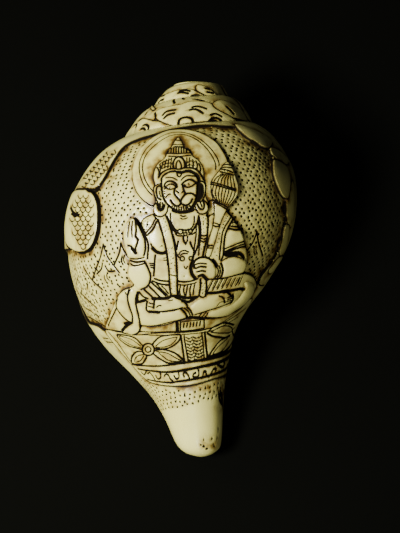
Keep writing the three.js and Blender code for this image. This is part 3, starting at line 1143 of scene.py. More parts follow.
@dataclass
class Inside:
    """The hollow passage, its columella and its canal, which are cut out of the solid form."""

    growth: Growth
    surface: GrownSurface
    finish: bpy.types.Material
    wall: float = 4.6
    wall_at_canal: float = 3.4
    callus: float = 1.5
    callus_at_canal: float = 0.7
    fold_places: tuple[float, ...] = (12.15, 12.75, 13.1, 13.28)
    fold_height: float = 1.8
    fold_width: float = 1.5
    spread: float = math.radians(45)
    thinned: float = 0.96
    # where the canal's part of the outline begins and is complete, as shares of it
    canal_from: tuple[float, float] = (0.62, 0.85)
    # degrees between two rings, and the longest slice that is closed down to the axis
    step: float = 5.0
    longest_slice: float = 270.0
    # how far a slice's solid runs on past its first and its last place, in millimetres
    slice_ends: tuple[float, float] = (0.5, 0.3)
    # the hollow's first and last place on the outline, and their number
    hollow_places: tuple[float, float, int] = (2.2, 15.0, 49)
    # the angles that the hollow, the whorl inside it and the glaze reach over, in degrees
    hollow_reach: tuple[int, int] = (-300, 15)
    core_reach: tuple[int, int] = (-315, 30)
    glaze_reach: tuple[int, int] = (-15, 45)
    # places on the outline: where they come close together for the folds, with their number up to there
    # and from there, and where the glaze outside the mouth ends, with its own number
    folds_start: float = 11.6
    plain_places: int = 24
    fold_points: int = 80
    glaze_end: float = 13.7
    glaze_points: int = 40
    slot_opens: float = math.radians(115)
    slot_reach: float = 30.0
    slot_points: int = 17
    # distance down the axis, how far the slot's middle is from the axis, half its width
    slot: tuple[tuple[float, float, float], ...] = (
        (143, 17.0, 4.0),
        (150, 13.2, 3.3),
        (156.5, 8.8, 2.8),
        (163, 5.6, 2.4),
        (174, 3.4, 2.4),
    )
    # the worn apex: how far down the axis it is, the dome's radius and depth, its steps and sides
    apex_top: float = 9.2
    apex_dome: tuple[float, float] = (26.0, 13.5)
    apex_steps: int = 25
    apex_sides: int = 96
    # how far above the shell the cutters reach, in millimetres
    clear: float = 10.0

    def canal(self, places: np.ndarray) -> np.ndarray:
        """How much places along the outline belong to the canal."""
        return smooth(places / self.growth.last, *self.canal_from)

    def glaze(self, places: np.ndarray) -> np.ndarray:
        """Thickness of the callus over the whorl that the mouth faces, with the columella's folds."""
        thick = self.callus + (self.callus_at_canal - self.callus) * self.canal(places)
        down = self.growth.section(0.0, places)[1]
        for fold in self.fold_places:
            away = (down - float(self.growth.section(0.0, fold)[1])) / self.fold_width
            thick = thick + self.fold_height * np.exp(-(away**2))
        return thick

    def coil(
        self,
        places: np.ndarray,
        offset: np.ndarray,
        reach: tuple[int, int],
        lag: float = 0.0,
        thinned: tuple[float, float] = (1.0, 0.0),
    ) -> bpy.types.Object:
        """A solid that is grown over a reach of angles.

        Args:
            places: Places along the outline.
            offset: How far out of the outline the solid's surface is at each of them.
            reach: The first and the last angle, in degrees.
            lag: How much younger the outline is than the angle says.
            thinned: Over what angle past the lip the offset thins away, and by what share.

        Returns:
            The solid, as an object.
        """
        steps = int((reach[1] - reach[0]) / self.step)
        ends = (math.radians(reach[0]), math.radians(reach[1]), steps)
        net = self.surface.grow(places, offset, ends, lag, thinned, self.finish)
        made = None
        last = steps
        most = int(self.longest_slice / self.step)
        while last > 0:
            first = max(last - most, 0)
            part = net[first : last + 1]
            top = -part[:, 0, 1].max() - self.slice_ends[0]
            bottom = -part[:, -1, 1].min() + self.slice_ends[1]
            mesh = closed_mesh("coil", rows(part), top, bottom)
            if made is None:
                made = put(mesh)
            else:
                combine(made, mesh, "UNION")
            last = first + 1 if first else 0
        return made

    def passage(self) -> bpy.types.Object:
        """The hollow behind the mouth: the inset coil without the whorl that came before."""
        places = np.linspace(*self.hollow_places)
        wall = self.wall + (self.wall_at_canal - self.wall) * self.canal(places)
        hollow = self.coil(places, -wall, self.hollow_reach)
        places = self.folded_places(self.growth.last, self.fold_points)
        core = self.coil(places, self.glaze(places), self.core_reach, TURN)
        combine(hollow, mesh_of(core), "DIFFERENCE")
        return hollow

    def folded_places(self, end: float, count: int) -> np.ndarray:
        """Places down the outline, close together from where the folds start."""
        plain = np.linspace(0, self.folds_start, self.plain_places, endpoint=False)
        return np.concatenate([plain, np.linspace(self.folds_start, end, count)])

    def spreading(self) -> bpy.types.Object:
        """The glaze that spreads out of the mouth."""
        places = self.folded_places(self.glaze_end, self.glaze_points)
        return self.coil(places, self.glaze(places), self.glaze_reach, TURN, (self.spread, self.thinned))

    def canal_slot(self) -> bpy.types.Mesh:
        """The cutter of the canal's open slot."""
        table = np.array(self.slot)
        down = np.linspace(table[0, 0], table[-1, 0], self.slot_points)
        middle, half = (np.interp(down, table[:, 0], table[:, n]) for n in (1, 2))
        out = np.array([-math.cos(self.slot_opens), 0, -math.sin(self.slot_opens)])
        side = np.array([-math.sin(self.slot_opens), 0, math.cos(self.slot_opens)])
        a = np.linspace(0, math.pi, self.slot_points)
        ring = np.stack([-np.sin(a), np.cos(a)], axis=1)
        points = []
        for d, m, h in zip(down, middle, half):
            corners = np.vstack([ring * h, [[self.slot_reach, -h], [self.slot_reach, h]]])
            points.append([0, -d, 0] + corners[:, :1] * out + (m + corners[:, 1:]) * side)
        n = len(points[0])
        faces = []
        for j in range(len(down) - 1):
            for i in range(n):
                a0, b0 = j * n + i, j * n + (i + 1) % n
                faces += [(a0, b0, a0 + n), (b0, b0 + n, a0 + n)]
        end = (len(down) - 1) * n
        for i in range(1, n - 1):
            faces += [(0, i + 1, i), (end, end + i, end + i + 1)]
        return outward("slot", np.concatenate(points), np.array(faces))

    def worn_apex(self) -> bpy.types.Mesh:
        """The cutter that wears the apex down to a low dome."""
        wide, deep = self.apex_dome
        a = np.linspace(0, math.pi / 2, self.apex_steps)[1:]
        profile = np.stack([wide * np.sin(a), self.apex_top + deep * (1 - np.cos(a))], axis=1)
        profile = np.vstack([profile, [[wide, -self.clear]]])
        n = self.apex_sides
        turns = np.arange(n) * TURN / n
        rings = []
        for r, d in profile:
            rings.append(np.stack([r * np.cos(turns), np.full(n, -d), r * np.sin(turns)], axis=1))
        count = len(rings)
        points = np.concatenate([*rings, [[0, -self.apex_top, 0], [0, self.clear, 0]]])
        low, high = count * n, count * n + 1
        faces = []
        for i in range(n):
            k = (i + 1) % n
            faces += [(low, i, k), (high, (count - 1) * n + k, (count - 1) * n + i)]
            for j in range(count - 1):
                a0, b0 = j * n + i, j * n + k
                faces += [(a0, a0 + n, b0), (b0, a0 + n, b0 + n)]
        return outward("apex", points, np.array(faces))


@dataclass(frozen=True)
class Rest:
    """How the shell lies: turned, pitched canal down, and moved so that it stands on the ground."""

    roll: float = math.radians(12.7)
    pitch: float = math.radians(15.3)
    over: tuple[float, float, float] = (7.0, 8.4, 30.5)
    middle: float = 80.0

    def matrix(self) -> Matrix:
        """From the shell's own frame to the frame it lies in, in millimetres."""
        turned = Matrix.Rotation(self.pitch, 4, "X") @ Matrix.Rotation(self.roll, 4, "Y")
        return Matrix.Translation(self.over) @ turned @ Matrix.Translation((0, self.middle, 0))

    def points(self, points: np.ndarray) -> np.ndarray:
        """Points of the shell's own frame where they lie, in metres."""
        matrix = np.array(self.matrix())
        return (points @ matrix[:3, :3].T + matrix[:3, 3]) * MM


@dataclass(frozen=True)
class Ivory:
    """The look of the polished shell, of the dirt in its carving and of the shade painted beside its steps
    and cuts.
    """

    light: str = "#eae292"
    warm: str = "#d3c468"
    ink: str = "#0d0803"
    # stain: brown of dirt and of painted shade at the feet of steps and beside cuts; crust: its darkest
    # part, dirt and painted deep shade
    stain: str = "#82621a"
    crust_and_deep_shade: str = "#331c05"
    # how rough the polish is, and how much it varies down and up
    roughness: float = 0.34
    varies: tuple[float, float] = (0.08, 0.1)
    ior: float = 1.55
    coat_roughness: float = 0.15
    # each noise: its scale a metre, and its detail
    mottle: tuple[float, float] = (26.0, 5.0)
    specks: tuple[float, float] = (700.0, 3.0)
    blotches: tuple[float, float] = (260.0, 6.0)
    grain: tuple[float, float] = (1500.0, 3.0)
    waves: tuple[float, float] = (90.0, 3.0)
    wear: tuple[float, float] = (130.0, 4.0)
    # how strong the grain is beside the waves, and the bump that they make, in metres
    grain_share: float = 0.12
    bump_strength: float = 0.25
    bump_height: float = 0.0006

    def noise(
        self, tree: bpy.types.NodeTree, place: Value, look: tuple[float, float]
    ) -> bpy.types.NodeSocket:
        """Add a noise texture, and return how strong it is."""
        links = {"Vector": place, "Scale": look[0], "Detail": look[1]}
        return add_node(tree, "ShaderNodeTexNoise", None, links).outputs[0]

    def mixed(
        self, tree: bpy.types.NodeTree, share: Value, first: Value, second: Value
    ) -> bpy.types.NodeSocket:
        """Add a mix of two colours, and return it."""
        links = {0: share, 6: first, 7: second}
        return add_node(tree, "ShaderNodeMix", {"data_type": "RGBA"}, links).outputs[2]

    def ranged(
        self,
        tree: bpy.types.NodeTree,
        value: Value,
        low: float,
        high: float,
        to: tuple[float, float] = (0.0, 1.0),
    ) -> bpy.types.NodeSocket:
        """Add a soft step of a value between two limits, and return it.

        Args:
            tree: The tree that it is added to.
            value: The value.
            low: Where the step begins.
            high: Where it ends.
            to: What it leads from and to.

        Returns:
            The step.
        """
        links = {"Value": value, "From Min": low, "From Max": high, "To Min": to[0], "To Max": to[1]}
        return add_node(tree, "ShaderNodeMapRange", {"interpolation_type": "SMOOTHSTEP"}, links).outputs[0]

    def colour(self, tree: bpy.types.NodeTree, place: Value) -> bpy.types.NodeSocket:
        """Add the nodes that colour the shell, and return the colour."""
        body = self.mixed(tree, self.noise(tree, place, self.mottle), linear(self.warm), linear(self.light))
        speck = self.ranged(tree, self.noise(tree, place, self.specks), 0.58, 0.75, (0.0, 0.3))
        body = self.mixed(tree, speck, body, linear(self.warm))
        # the stain attribute paints brown, and near-black crust where it is strong: dirt, and painted shade
        # at the feet of steps and beside cuts
        stain = add_node(tree, "ShaderNodeAttribute", {"attribute_name": "stain"}).outputs["Fac"]
        blotch = self.ranged(tree, self.noise(tree, place, self.blotches), 0.3, 0.72, (0.45, 1.25))
        stain_and_shade_amount = add_math(tree, "MULTIPLY", stain, blotch)
        thin = self.ranged(tree, stain_and_shade_amount, 0.0, 0.75, (0.0, 0.95))
        body = self.mixed(tree, thin, body, linear(self.stain))
        thick = self.ranged(tree, stain_and_shade_amount, 0.45, 1.0, (0.0, 0.9))
        body = self.mixed(tree, thick, body, linear(self.crust_and_deep_shade))
        return self.mixed(tree, self.inked(tree), body, linear(self.ink))

    def inked(self, tree: bpy.types.NodeTree, to: tuple[float, float] = (0.0, 1.0)) -> bpy.types.NodeSocket:
        """Add how much ink there is, and return it."""
        ink = add_node(tree, "ShaderNodeAttribute", {"attribute_name": "ink"}).outputs["Fac"]
        return self.ranged(tree, ink, 0.15, 0.75, to)

    def material(self) -> bpy.types.Material:
        """Build the material."""
        made = bpy.data.materials.new("ivory")
        made.use_nodes = True
        tree = made.node_tree
        tree.nodes.clear()
        place = add_node(tree, "ShaderNodeTexCoord").outputs["Object"]
        grain = self.noise(tree, place, self.grain)
        waves = self.noise(tree, place, self.waves)
        height = add_math(tree, "ADD", add_math(tree, "MULTIPLY", grain, self.grain_share), waves)
        links = {"Height": height, "Strength": self.bump_strength, "Distance": self.bump_height}
        bump = add_node(tree, "ShaderNodeBump", None, links).outputs[0]
        polish = (self.roughness - self.varies[0], self.roughness + self.varies[1])
        rough = self.ranged(tree, self.noise(tree, place, self.wear), 0.3, 0.7, polish)
        rough = add_math(tree, "MAXIMUM", rough, self.inked(tree, (0.0, 0.9)))
        shader = add_node(
            tree,
            "ShaderNodeBsdfPrincipled",
            None,
            {
                "Base Color": self.colour(tree, place),
                "Roughness": rough,
                "IOR": self.ior,
                "Normal": bump,
                "Specular IOR Level": self.inked(tree, (0.5, 0.05)),
                "Coat Weight": self.inked(tree, (0.3, 0.0)),
                "Coat Roughness": self.coat_roughness,
            },
        )
        add_node(tree, "ShaderNodeOutputMaterial", None, {"Surface": shader.outputs[0]})
        return made


@dataclass(frozen=True)
class Enlarged:
    """A part of the photograph as it was drawn over: its corner in pixels, and how far it is enlarged."""

    corner: tuple[float, float]
    scale: float

    def pixels(self, points: Points) -> list[tuple[float, float]]:
        """The photograph's pixels of points that are drawn on the enlargement."""
        return [(self.corner[0] + x / self.scale, self.corner[1] + y / self.scale) for x, y in points]


# The enlargements that the carving is drawn on
UPPER = Enlarged((60, 70), 6.533)
LOWER = Enlarged((60, 250), 6.533)
TOP = Enlarged((120, 75), 11.2)
RIGHT = Enlarged((180, 90), 11.2)
FACE = Enlarged((150, 165), 24)
TORSO = Enlarged((118, 205), 16)
ARM = Enlarged((195, 205), 14)
LEGS = Enlarged((100, 280), 9.5)
PEDESTAL = Enlarged((103, 318), 10.6)
CANAL = Enlarged((145, 375), 8)


@dataclass
class Drawing:
    """Marks that are drawn over one enlargement."""

    carving: Carving
    view: Enlarged

    def seen(self, points: Points) -> np.ndarray:
        """Chart points under points that are drawn on the enlargement."""
        return self.carving.seen(self.view.pixels(points))

    def cut(self, line: Line, *paths: Points) -> None:
        """Cut smooth lines."""
        for path in paths:
            self.carving.engrave(self.seen(path), line)

    def ring(self, line: Line, centre: tuple[float, float], radius: float) -> None:
        """Cut a circle."""
        x, y = centre
        turns = np.linspace(0, TURN, RING_POINTS, endpoint=False)
        path = [(x + radius * math.cos(a), y + radius * math.sin(a)) for a in turns]
        self.carving.engrave(self.seen(path), line, closed=True)

    def dots(self, radius: float, points: Points) -> None:
        """Prick dots of a radius in millimetres."""
        self.carving.dot(self.seen(points), radius)


# Outlines in the photograph's pixels
HALO: Points = (
    (131.6, 180), (131.2, 169.6), (132.5, 162.5), (136.1, 153.6), (141.4, 145.5), (149.5, 138.4),
    (158.4, 133), (168.2, 129.5), (178, 128.3), (187.9, 128.6), (197.7, 130.8), (207.5, 134.8),
    (216.4, 141.1), (222.7, 149.1), (227.1, 157.1), (228.8, 164), (228, 178), (222, 190), (212, 200),
    (190, 206), (165, 206.5), (151.8, 205.6), (146.5, 203), (141.1, 198.7), (135, 190.3),
)
FIGURE: Points = (
    (178.6, 136.5), (182.5, 142), (184.5, 147), (191, 151.5), (193, 155.5), (199.5, 160.5), (203.5, 168),
    (204.5, 178), (206, 184), (205.5, 194), (209, 204), (207.5, 212.5), (207, 217), (213, 214),
    (224, 208), (229, 213.5), (236, 222), (241, 231), (246, 245), (248, 255), (247.5, 265), (244, 272.5),
    (251, 275), (255.5, 279), (257, 286), (253, 294), (246, 303), (238, 309), (226, 315.5), (212, 318.5),
    (204, 319), (182, 319), (170, 324), (156, 326.5), (141, 326), (139.6, 331), (134, 335), (120, 332.5),
    (105.5, 330), (108, 319), (113, 306), (117, 297), (122, 291), (133, 286), (130, 279), (128, 270),
    (128.5, 262), (127, 256), (124, 246), (123, 233), (126, 224), (133, 218), (137.5, 221), (140.5, 226),
    (142, 220), (147, 216.5), (153, 213.5), (153, 206), (155.5, 201), (153.5, 190), (154.5, 184),
    (153, 178), (154.5, 169), (158, 163), (165, 157), (167, 151), (171.5, 146), (174.5, 140.5),
)
MACE: Points = (
    (227.8, 161.7), (230.9, 165), (233.8, 171), (236.2, 178), (238.5, 184.6), (238.7, 191),
    (236.8, 197.1), (233, 202), (228.7, 207.5), (225.1, 213.2), (222, 219.5), (219, 228), (215.5, 240),
    (211.8, 252), (209.5, 257), (205.5, 256), (206.4, 250), (209, 238), (212.1, 228.6), (213.2, 222),
    (214.2, 215), (214.6, 207), (213.6, 201), (212, 194.5), (210.9, 186.4), (212, 180.2), (216, 174.5),
    (221, 168), (224.2, 163.5),
)
SEAT: Points = (
    (105, 330), (120, 332.5), (136, 335), (160, 333), (185, 332.5), (204, 330), (222, 323), (240, 309.5),
    (252, 298), (249, 312), (243, 330), (238, 347), (234, 366), (229, 373), (214, 379), (198, 384),
    (182, 386.5), (167, 386), (155, 384), (146, 380), (136, 370), (125, 357), (115, 345),
)
GROUND: Points = (
    (124, 146), (131, 141.5), (146, 136), (165, 131), (184, 126.5), (205, 124.5), (225, 125.5),
    (234, 126), (240, 130), (249, 138), (260, 145), (269.5, 147.5), (272, 154), (274, 163), (275, 172),
    (279, 186), (283, 194), (287, 199), (285.5, 209), (286.5, 218), (284, 232), (280, 243), (277, 255),
    (270, 266), (262, 276), (254, 288), (200, 300), (140, 325), (106, 331), (97, 326), (87, 318),
    (79, 303), (73, 288), (67, 268), (62, 252), (62, 247), (72, 249.5), (79, 252.5), (86, 251), (91, 247),
    (95, 238), (97.5, 225), (97.5, 207), (95, 197), (92, 193), (86, 189.5), (95, 188), (101, 182),
    (109, 168), (118, 153),
)
# the points of the ground's outline that run on out of sight, and their growth angles in degrees
GROUND_HIDDEN = slice(30, 36)
GROUND_HIDDEN_EDGE = (-35.0, -28.0, -25.0, -25.0, -28.0, -35.0)
COIL_RIM: Points = (
    (86, 189), (91.5, 191.5), (95.5, 197), (98, 207), (98, 225), (95.5, 238), (91, 247.5), (86, 251.5),
    (79, 253), (72, 250), (66, 243), (62.5, 228), (62.5, 212), (66, 198), (74, 190),
)
# The petals on the right edge of the ground
LEAF = Enlarged((225, 100), 7)
LEAVES: tuple[Points, ...] = (
    ((65, 172), (110, 176), (180, 200), (250, 232), (310, 272), (332, 300), (312, 333), (270, 330),
     (220, 300), (150, 255), (100, 210)),
    ((315, 335), (345, 335), (400, 370), (442, 420), (435, 455), (390, 440), (345, 400), (320, 370)),
    ((430, 700), (448, 640), (466, 560), (482, 600), (486, 700), (482, 790), (466, 880), (442, 884),
     (428, 800)),
    ((345, 415), (400, 440), (440, 480), (456, 560), (452, 640), (436, 692), (400, 670), (365, 600),
     (340, 520), (334, 450)),
    ((420, 878), (448, 880), (442, 960), (420, 1050), (385, 1092), (378, 1060), (398, 980)),
    ((380, 1095), (402, 1095), (370, 1150), (322, 1212), (300, 1202), (340, 1140)),
)
BORDER_COIL: Points = (
    (190, 800), (230, 850), (242, 950), (232, 1050), (212, 1130), (170, 1175), (120, 1165), (90, 1100),
    (70, 1000), (72, 900), (100, 830), (150, 790),
)
BORDER_TAIL: Points = (
    (385, 500), (345, 600), (290, 690), (225, 750), (170, 770), (120, 800), (130, 730), (190, 650),
    (260, 570), (320, 520),
)


# Parts of the figure that swell out of it, on their own enlargements, with their height and their bulge
LIMBS: tuple[tuple[Enlarged, Points, float, float], ...] = (
    (FACE,
     ((280, 360), (460, 175), (700, 180), (960, 150), (1160, 320), (1140, 700), (1020, 960), (800, 1085),
      (590, 1075), (380, 880), (290, 640)), 0.15, 0.5),
    (FACE,
     ((500, 720), (600, 730), (735, 890), (740, 940), (640, 985), (520, 900), (440, 810)), 0.45, 0.45),
    (FACE,
     ((745, 890), (850, 720), (940, 695), (1080, 750), (1040, 880), (900, 960), (780, 945)), 0.45, 0.45),
    (FACE, ((240, 455), (100, 530), (90, 640), (150, 825), (250, 890), (280, 820), (280, 500)), 0.2, 0.3),
    (FACE,
     ((1190, 400), (1325, 450), (1335, 600), (1282, 805), (1180, 870), (1160, 800), (1165, 450)),
     0.2, 0.3),
    (FACE,
     ((90, 990), (180, 920), (260, 905), (350, 930), (430, 1010), (418, 1110), (340, 1210), (250, 1240),
      (145, 1205), (80, 1110)), 0.25, 0.4),
    (FACE,
     ((1110, 950), (1200, 890), (1300, 860), (1400, 1000), (1380, 1110), (1300, 1170), (1200, 1170),
      (1120, 1090)), 0.25, 0.4),
    (TORSO,
     ((520, 480), (600, 330), (660, 380), (760, 640), (765, 750), (700, 768), (620, 740), (560, 685),
      (525, 600)), 0.2, 0.5),
    (TORSO,
     ((90, 480), (130, 300), (250, 208), (330, 310), (420, 510), (440, 700), (420, 840), (200, 850),
      (130, 740)), 0.25, 0.45),
    (TORSO,
     ((200, 960), (430, 930), (520, 1100), (520, 1200), (370, 1345), (280, 1285), (170, 1130)),
     0.25, 0.7),
    (TORSO,
     ((660, 260), (760, 190), (860, 430), (930, 800), (950, 1430), (850, 1430), (800, 1000), (740, 560)),
     0.4, 0.25),
    (TORSO, ((1310, 210), (1440, 200), (1425, 540), (1350, 800), (1295, 790), (1325, 440)), 0.3, 0.25),
    (TORSO,
     ((1225, 1000), (1215, 920), (1262, 862), (1350, 832), (1450, 852), (1545, 925), (1545, 1150),
      (1430, 1185), (1300, 1130)), 0.55, 0.5),
    (ARM,
     ((375, 800), (450, 730), (560, 715), (650, 730), (720, 800), (690, 920), (600, 962), (450, 1005),
      (360, 1015), (385, 920)), 0.35, 0.8),
    (ARM, ((480, 350), (630, 345), (690, 480), (620, 520), (430, 600), (420, 560)), 0.2, 0.5),
    (LEGS,
     ((390, 240), (450, 300), (560, 305), (760, 280), (820, 350), (740, 378), (620, 410), (500, 432),
      (395, 425), (370, 320)), 0.25, 0.6),
    (LEGS,
     ((460, 195), (520, 182), (700, 168), (830, 238), (770, 260), (560, 296), (455, 290)), 0.3, 0.5),
    (LEGS,
     ((880, 330), (850, 260), (960, 170), (1100, 130), (1200, 105), (1255, 140), (1258, 185), (1150, 248),
      (1000, 292)), 0.35, 0.6),
    (LEGS,
     ((1260, 220), (1360, 100), (1370, 20), (1440, 30), (1460, 110), (1380, 220), (1290, 285),
      (1200, 340), (1030, 350), (1020, 310)), 0.2, 0.8),
    (LEGS,
     ((165, 180), (240, 100), (272, 160), (290, 260), (310, 395), (250, 370), (170, 280)), 0.25, 0.6),
    (LEGS,
     ((280, 92), (345, 140), (345, 230), (385, 430), (370, 490), (310, 520), (215, 482), (310, 405),
      (268, 160)), 0.35, 0.35),
)

# Petals of the spire that the photograph shows, drawn over its top, lowest first
PETALS: tuple[Points, ...] = (
    ((60, 755), (60, 680), (140, 580), (240, 490), (380, 512), (470, 528), (600, 570), (400, 608),
     (150, 708)),
    ((1040, 318), (1100, 285), (1180, 292), (1300, 350), (1380, 420), (1420, 520), (1260, 480),
     (1150, 420), (1060, 370)),
    ((440, 516), (395, 470), (400, 415), (470, 375), (560, 352), (690, 328), (760, 303), (860, 292),
     (960, 302), (1025, 322), (1060, 370), (1150, 420), (1260, 480), (1300, 530), (1050, 523), (760, 543),
     (600, 573)),
    ((345, 368), (350, 320), (375, 345), (400, 378), (370, 400)),
    ((390, 350), (400, 290), (450, 240), (550, 205), (620, 178), (700, 162), (800, 160), (860, 185),
     (950, 232), (1020, 300), (860, 285), (760, 296), (690, 322), (560, 345), (470, 362)),
    ((860, 115), (900, 112), (1000, 150), (1090, 230), (1110, 262), (1050, 240), (950, 228), (872, 188),
     (845, 150)),
)


@dataclass
class Halo:
    """The disc behind the head, with a double line near its rim."""

    carving: Carving

    def draw(self) -> None:
        """Carve it."""
        self.carving.raise_level(self.carving.seen(HALO), -0.35, stain=0.85, foot=1.0)
        pen = Drawing(self.carving, TOP)
        pen.cut(
            Line.FINE,
            ((356, 1343), (288, 1266), (245, 1188), (217, 1090), (211, 1010), (228, 930), (280, 835),
             (350, 760), (435, 693), (535, 647), (640, 630), (745, 640), (850, 680), (950, 750),
             (1030, 830), (1085, 910), (1112, 975), (1112, 1010)),
            ((370, 1299), (339, 1266), (288, 1188), (260, 1110), (248, 1030), (262, 945), (300, 870),
             (370, 795), (450, 730), (550, 675), (650, 655), (745, 665), (840, 705), (930, 770),
             (1000, 850), (1050, 930), (1075, 1000), (1075, 1050)),
        )


@dataclass
class Crown:
    """The tall crown, its tiers and the leaf over the brow."""

    carving: Carving

    def draw(self) -> None:
        """Carve it."""
        pen = Drawing(self.carving, TOP)
        pen.cut(
            Line.FINE,
            ((598, 773), (660, 783), (725, 768)), ((602, 795), (660, 803), (728, 788)),
            ((622, 722), (655, 733), (690, 720)), ((580, 930), (574, 980), (568, 1042)),
            ((490, 960), (478, 1000), (468, 1052)), ((520, 945), (508, 990), (503, 1046)),
            ((550, 932), (543, 980), (538, 1042)), ((440, 1000), (500, 965), (575, 945)),
            ((432, 1042), (490, 1006), (574, 985)), ((480, 1050), (520, 1030), (572, 1020)),
            ((750, 930), (748, 985), (745, 1040)), ((782, 926), (776, 985), (780, 1046)),
            ((745, 990), (790, 965), (835, 975)), ((745, 1025), (790, 1010), (830, 1020)),
        )
        pen.cut(
            Line.PLAIN,
            *(((575 + 28 * n, 824 - 2 * min(n, 6 - n)), (572 + 29 * n, 869)) for n in range(7)),
            ((548, 822), (655, 806), (765, 818)), ((535, 875), (655, 884), (800, 866)),
            ((545, 908), (655, 918), (792, 897)),
            ((632, 1045), (632, 1000), (656, 958), (684, 1000), (690, 1045)),
            ((445, 1000), (455, 1045), (448, 1100)), ((412, 1030), (434, 1070), (436, 1130)),
            ((815, 945), (822, 1000), (812, 1050)), ((850, 960), (868, 1005), (858, 1060)),
            ((885, 990), (905, 1045), (895, 1100)),
        )
        pen.cut(
            Line.BOLD,
            ((602, 1048), (596, 990), (620, 940), (656, 918), (702, 937), (728, 985), (728, 1042)),
            ((782, 828), (800, 870)), ((545, 850), (520, 872)),
        )


@dataclass
class Face:
    """The monkey face with its muzzle, ears and round earrings."""

    carving: Carving

    def draw(self) -> None:
        """Carve it."""
        pen = Drawing(self.carving, FACE)
        pen.cut(
            Line.GOUGE,
            ((700, 178), (765, 185), (850, 158), (950, 152), (1050, 190), (1130, 255), (1168, 330),
             (1180, 400)),
            ((1165, 420), (1150, 560), (1148, 690), (1135, 780), (1105, 870), (1050, 965), (985, 1050)),
            ((200, 955), (215, 1035), (265, 1080), (315, 1050), (335, 980)),
            ((560, 1085), (640, 1118), (740, 1132), (860, 1128), (960, 1105), (1030, 1080)),
            ((1190, 470), (1240, 500), (1255, 580), (1250, 690), (1205, 790), (1160, 850)),
            ((1195, 520), (1200, 640), (1180, 760)),
        )
        pen.cut(
            Line.BOLD,
            ((215, 300), (250, 232), (330, 160), (450, 110), (580, 93), (700, 108), (790, 84), (900, 73),
             (1020, 80), (1120, 122), (1200, 195), (1255, 275), (1300, 360)),
            ((272, 345), (310, 275), (380, 218), (480, 170), (600, 158), (700, 178)),
            ((345, 520), (370, 450), (430, 405), (520, 398), (600, 430), (650, 490), (652, 540)),
            ((770, 470), (830, 410), (920, 362), (1010, 366), (1080, 410), (1125, 440)),
            ((770, 475), (800, 500), (835, 488)),
            ((605, 585), (585, 640), (590, 700), (640, 760), (700, 830), (738, 890)),
            ((790, 510), (805, 570), (825, 630), (852, 692)),
            ((500, 845), (530, 905), (580, 955), (650, 990), (700, 972), (738, 930), (742, 885)),
            ((740, 885), (775, 800), (850, 712), (930, 682), (1020, 692), (1100, 742)),
            ((745, 905), (790, 950), (860, 970), (930, 940), (980, 890), (1012, 825)),
            ((262, 500), (185, 522), (157, 600), (167, 700), (200, 790), (262, 832)),
            ((285, 590), (300, 690), (330, 800), (375, 880), (440, 965), (520, 1030), (575, 1075)),
            ((280, 360), (280, 460), (292, 580)),
            ((1140, 950), (1180, 1030), (1240, 1068), (1290, 1040), (1300, 960), (1280, 880)),
        )
        pen.cut(
            Line.PLAIN,
            ((652, 188), (660, 250), (708, 300), (752, 250), (762, 188)),
            ((755, 375), (800, 320), (870, 275), (960, 265), (1060, 275), (1125, 288)),
            ((350, 582), (400, 512), (460, 472), (530, 467), (600, 500), (622, 545)),
            ((395, 548), (440, 580), (500, 592), (570, 577), (625, 550)),
            ((790, 500), (850, 530), (930, 541), (1010, 512), (1080, 460), (1135, 440)),
            ((640, 625), (692, 672)), ((768, 668), (812, 628)), ((380, 790), (430, 722), (500, 700)),
            ((240, 455), (160, 468), (100, 530), (88, 620), (108, 720), (150, 825), (185, 895)),
            ((1190, 402), (1260, 392), (1322, 450), (1337, 560), (1322, 700), (1282, 805), (1230, 875)),
            ((170, 905), (85, 990), (78, 1110), (145, 1210), (250, 1242), (350, 1205), (418, 1110),
             (432, 1010)),
            ((1300, 850), (1372, 920), (1402, 1020), (1382, 1110), (1300, 1172), (1200, 1172),
             (1130, 1110), (1085, 1000)),
            ((245, 900), (250, 950), (262, 1005)), ((300, 900), (310, 950)),
            ((1200, 880), (1225, 950), (1245, 1000)),
        )
        pen.cut(
            Line.FINE,
            ((385, 322), (450, 305), (540, 315), (600, 340), (660, 378)), ((308, 628), (356, 636)),
            ((302, 690), (370, 692)), ((318, 762), (362, 752)), ((230, 640), (240, 700), (262, 762)),
            ((930, 452), (940, 490)),
        )
        pen.cut(
            Line.PLAIN,
            *(((590 + 54 * n, 1012 + 12 * math.sin(n)), (588 + 57 * n, 1075)) for n in range(6)),
            ((900, 1005), (932, 1070)), ((950, 972), (992, 1040)), ((540, 990), (530, 1045)),
        )
        pen.dots(0.26, ((490, 537), (935, 472)))


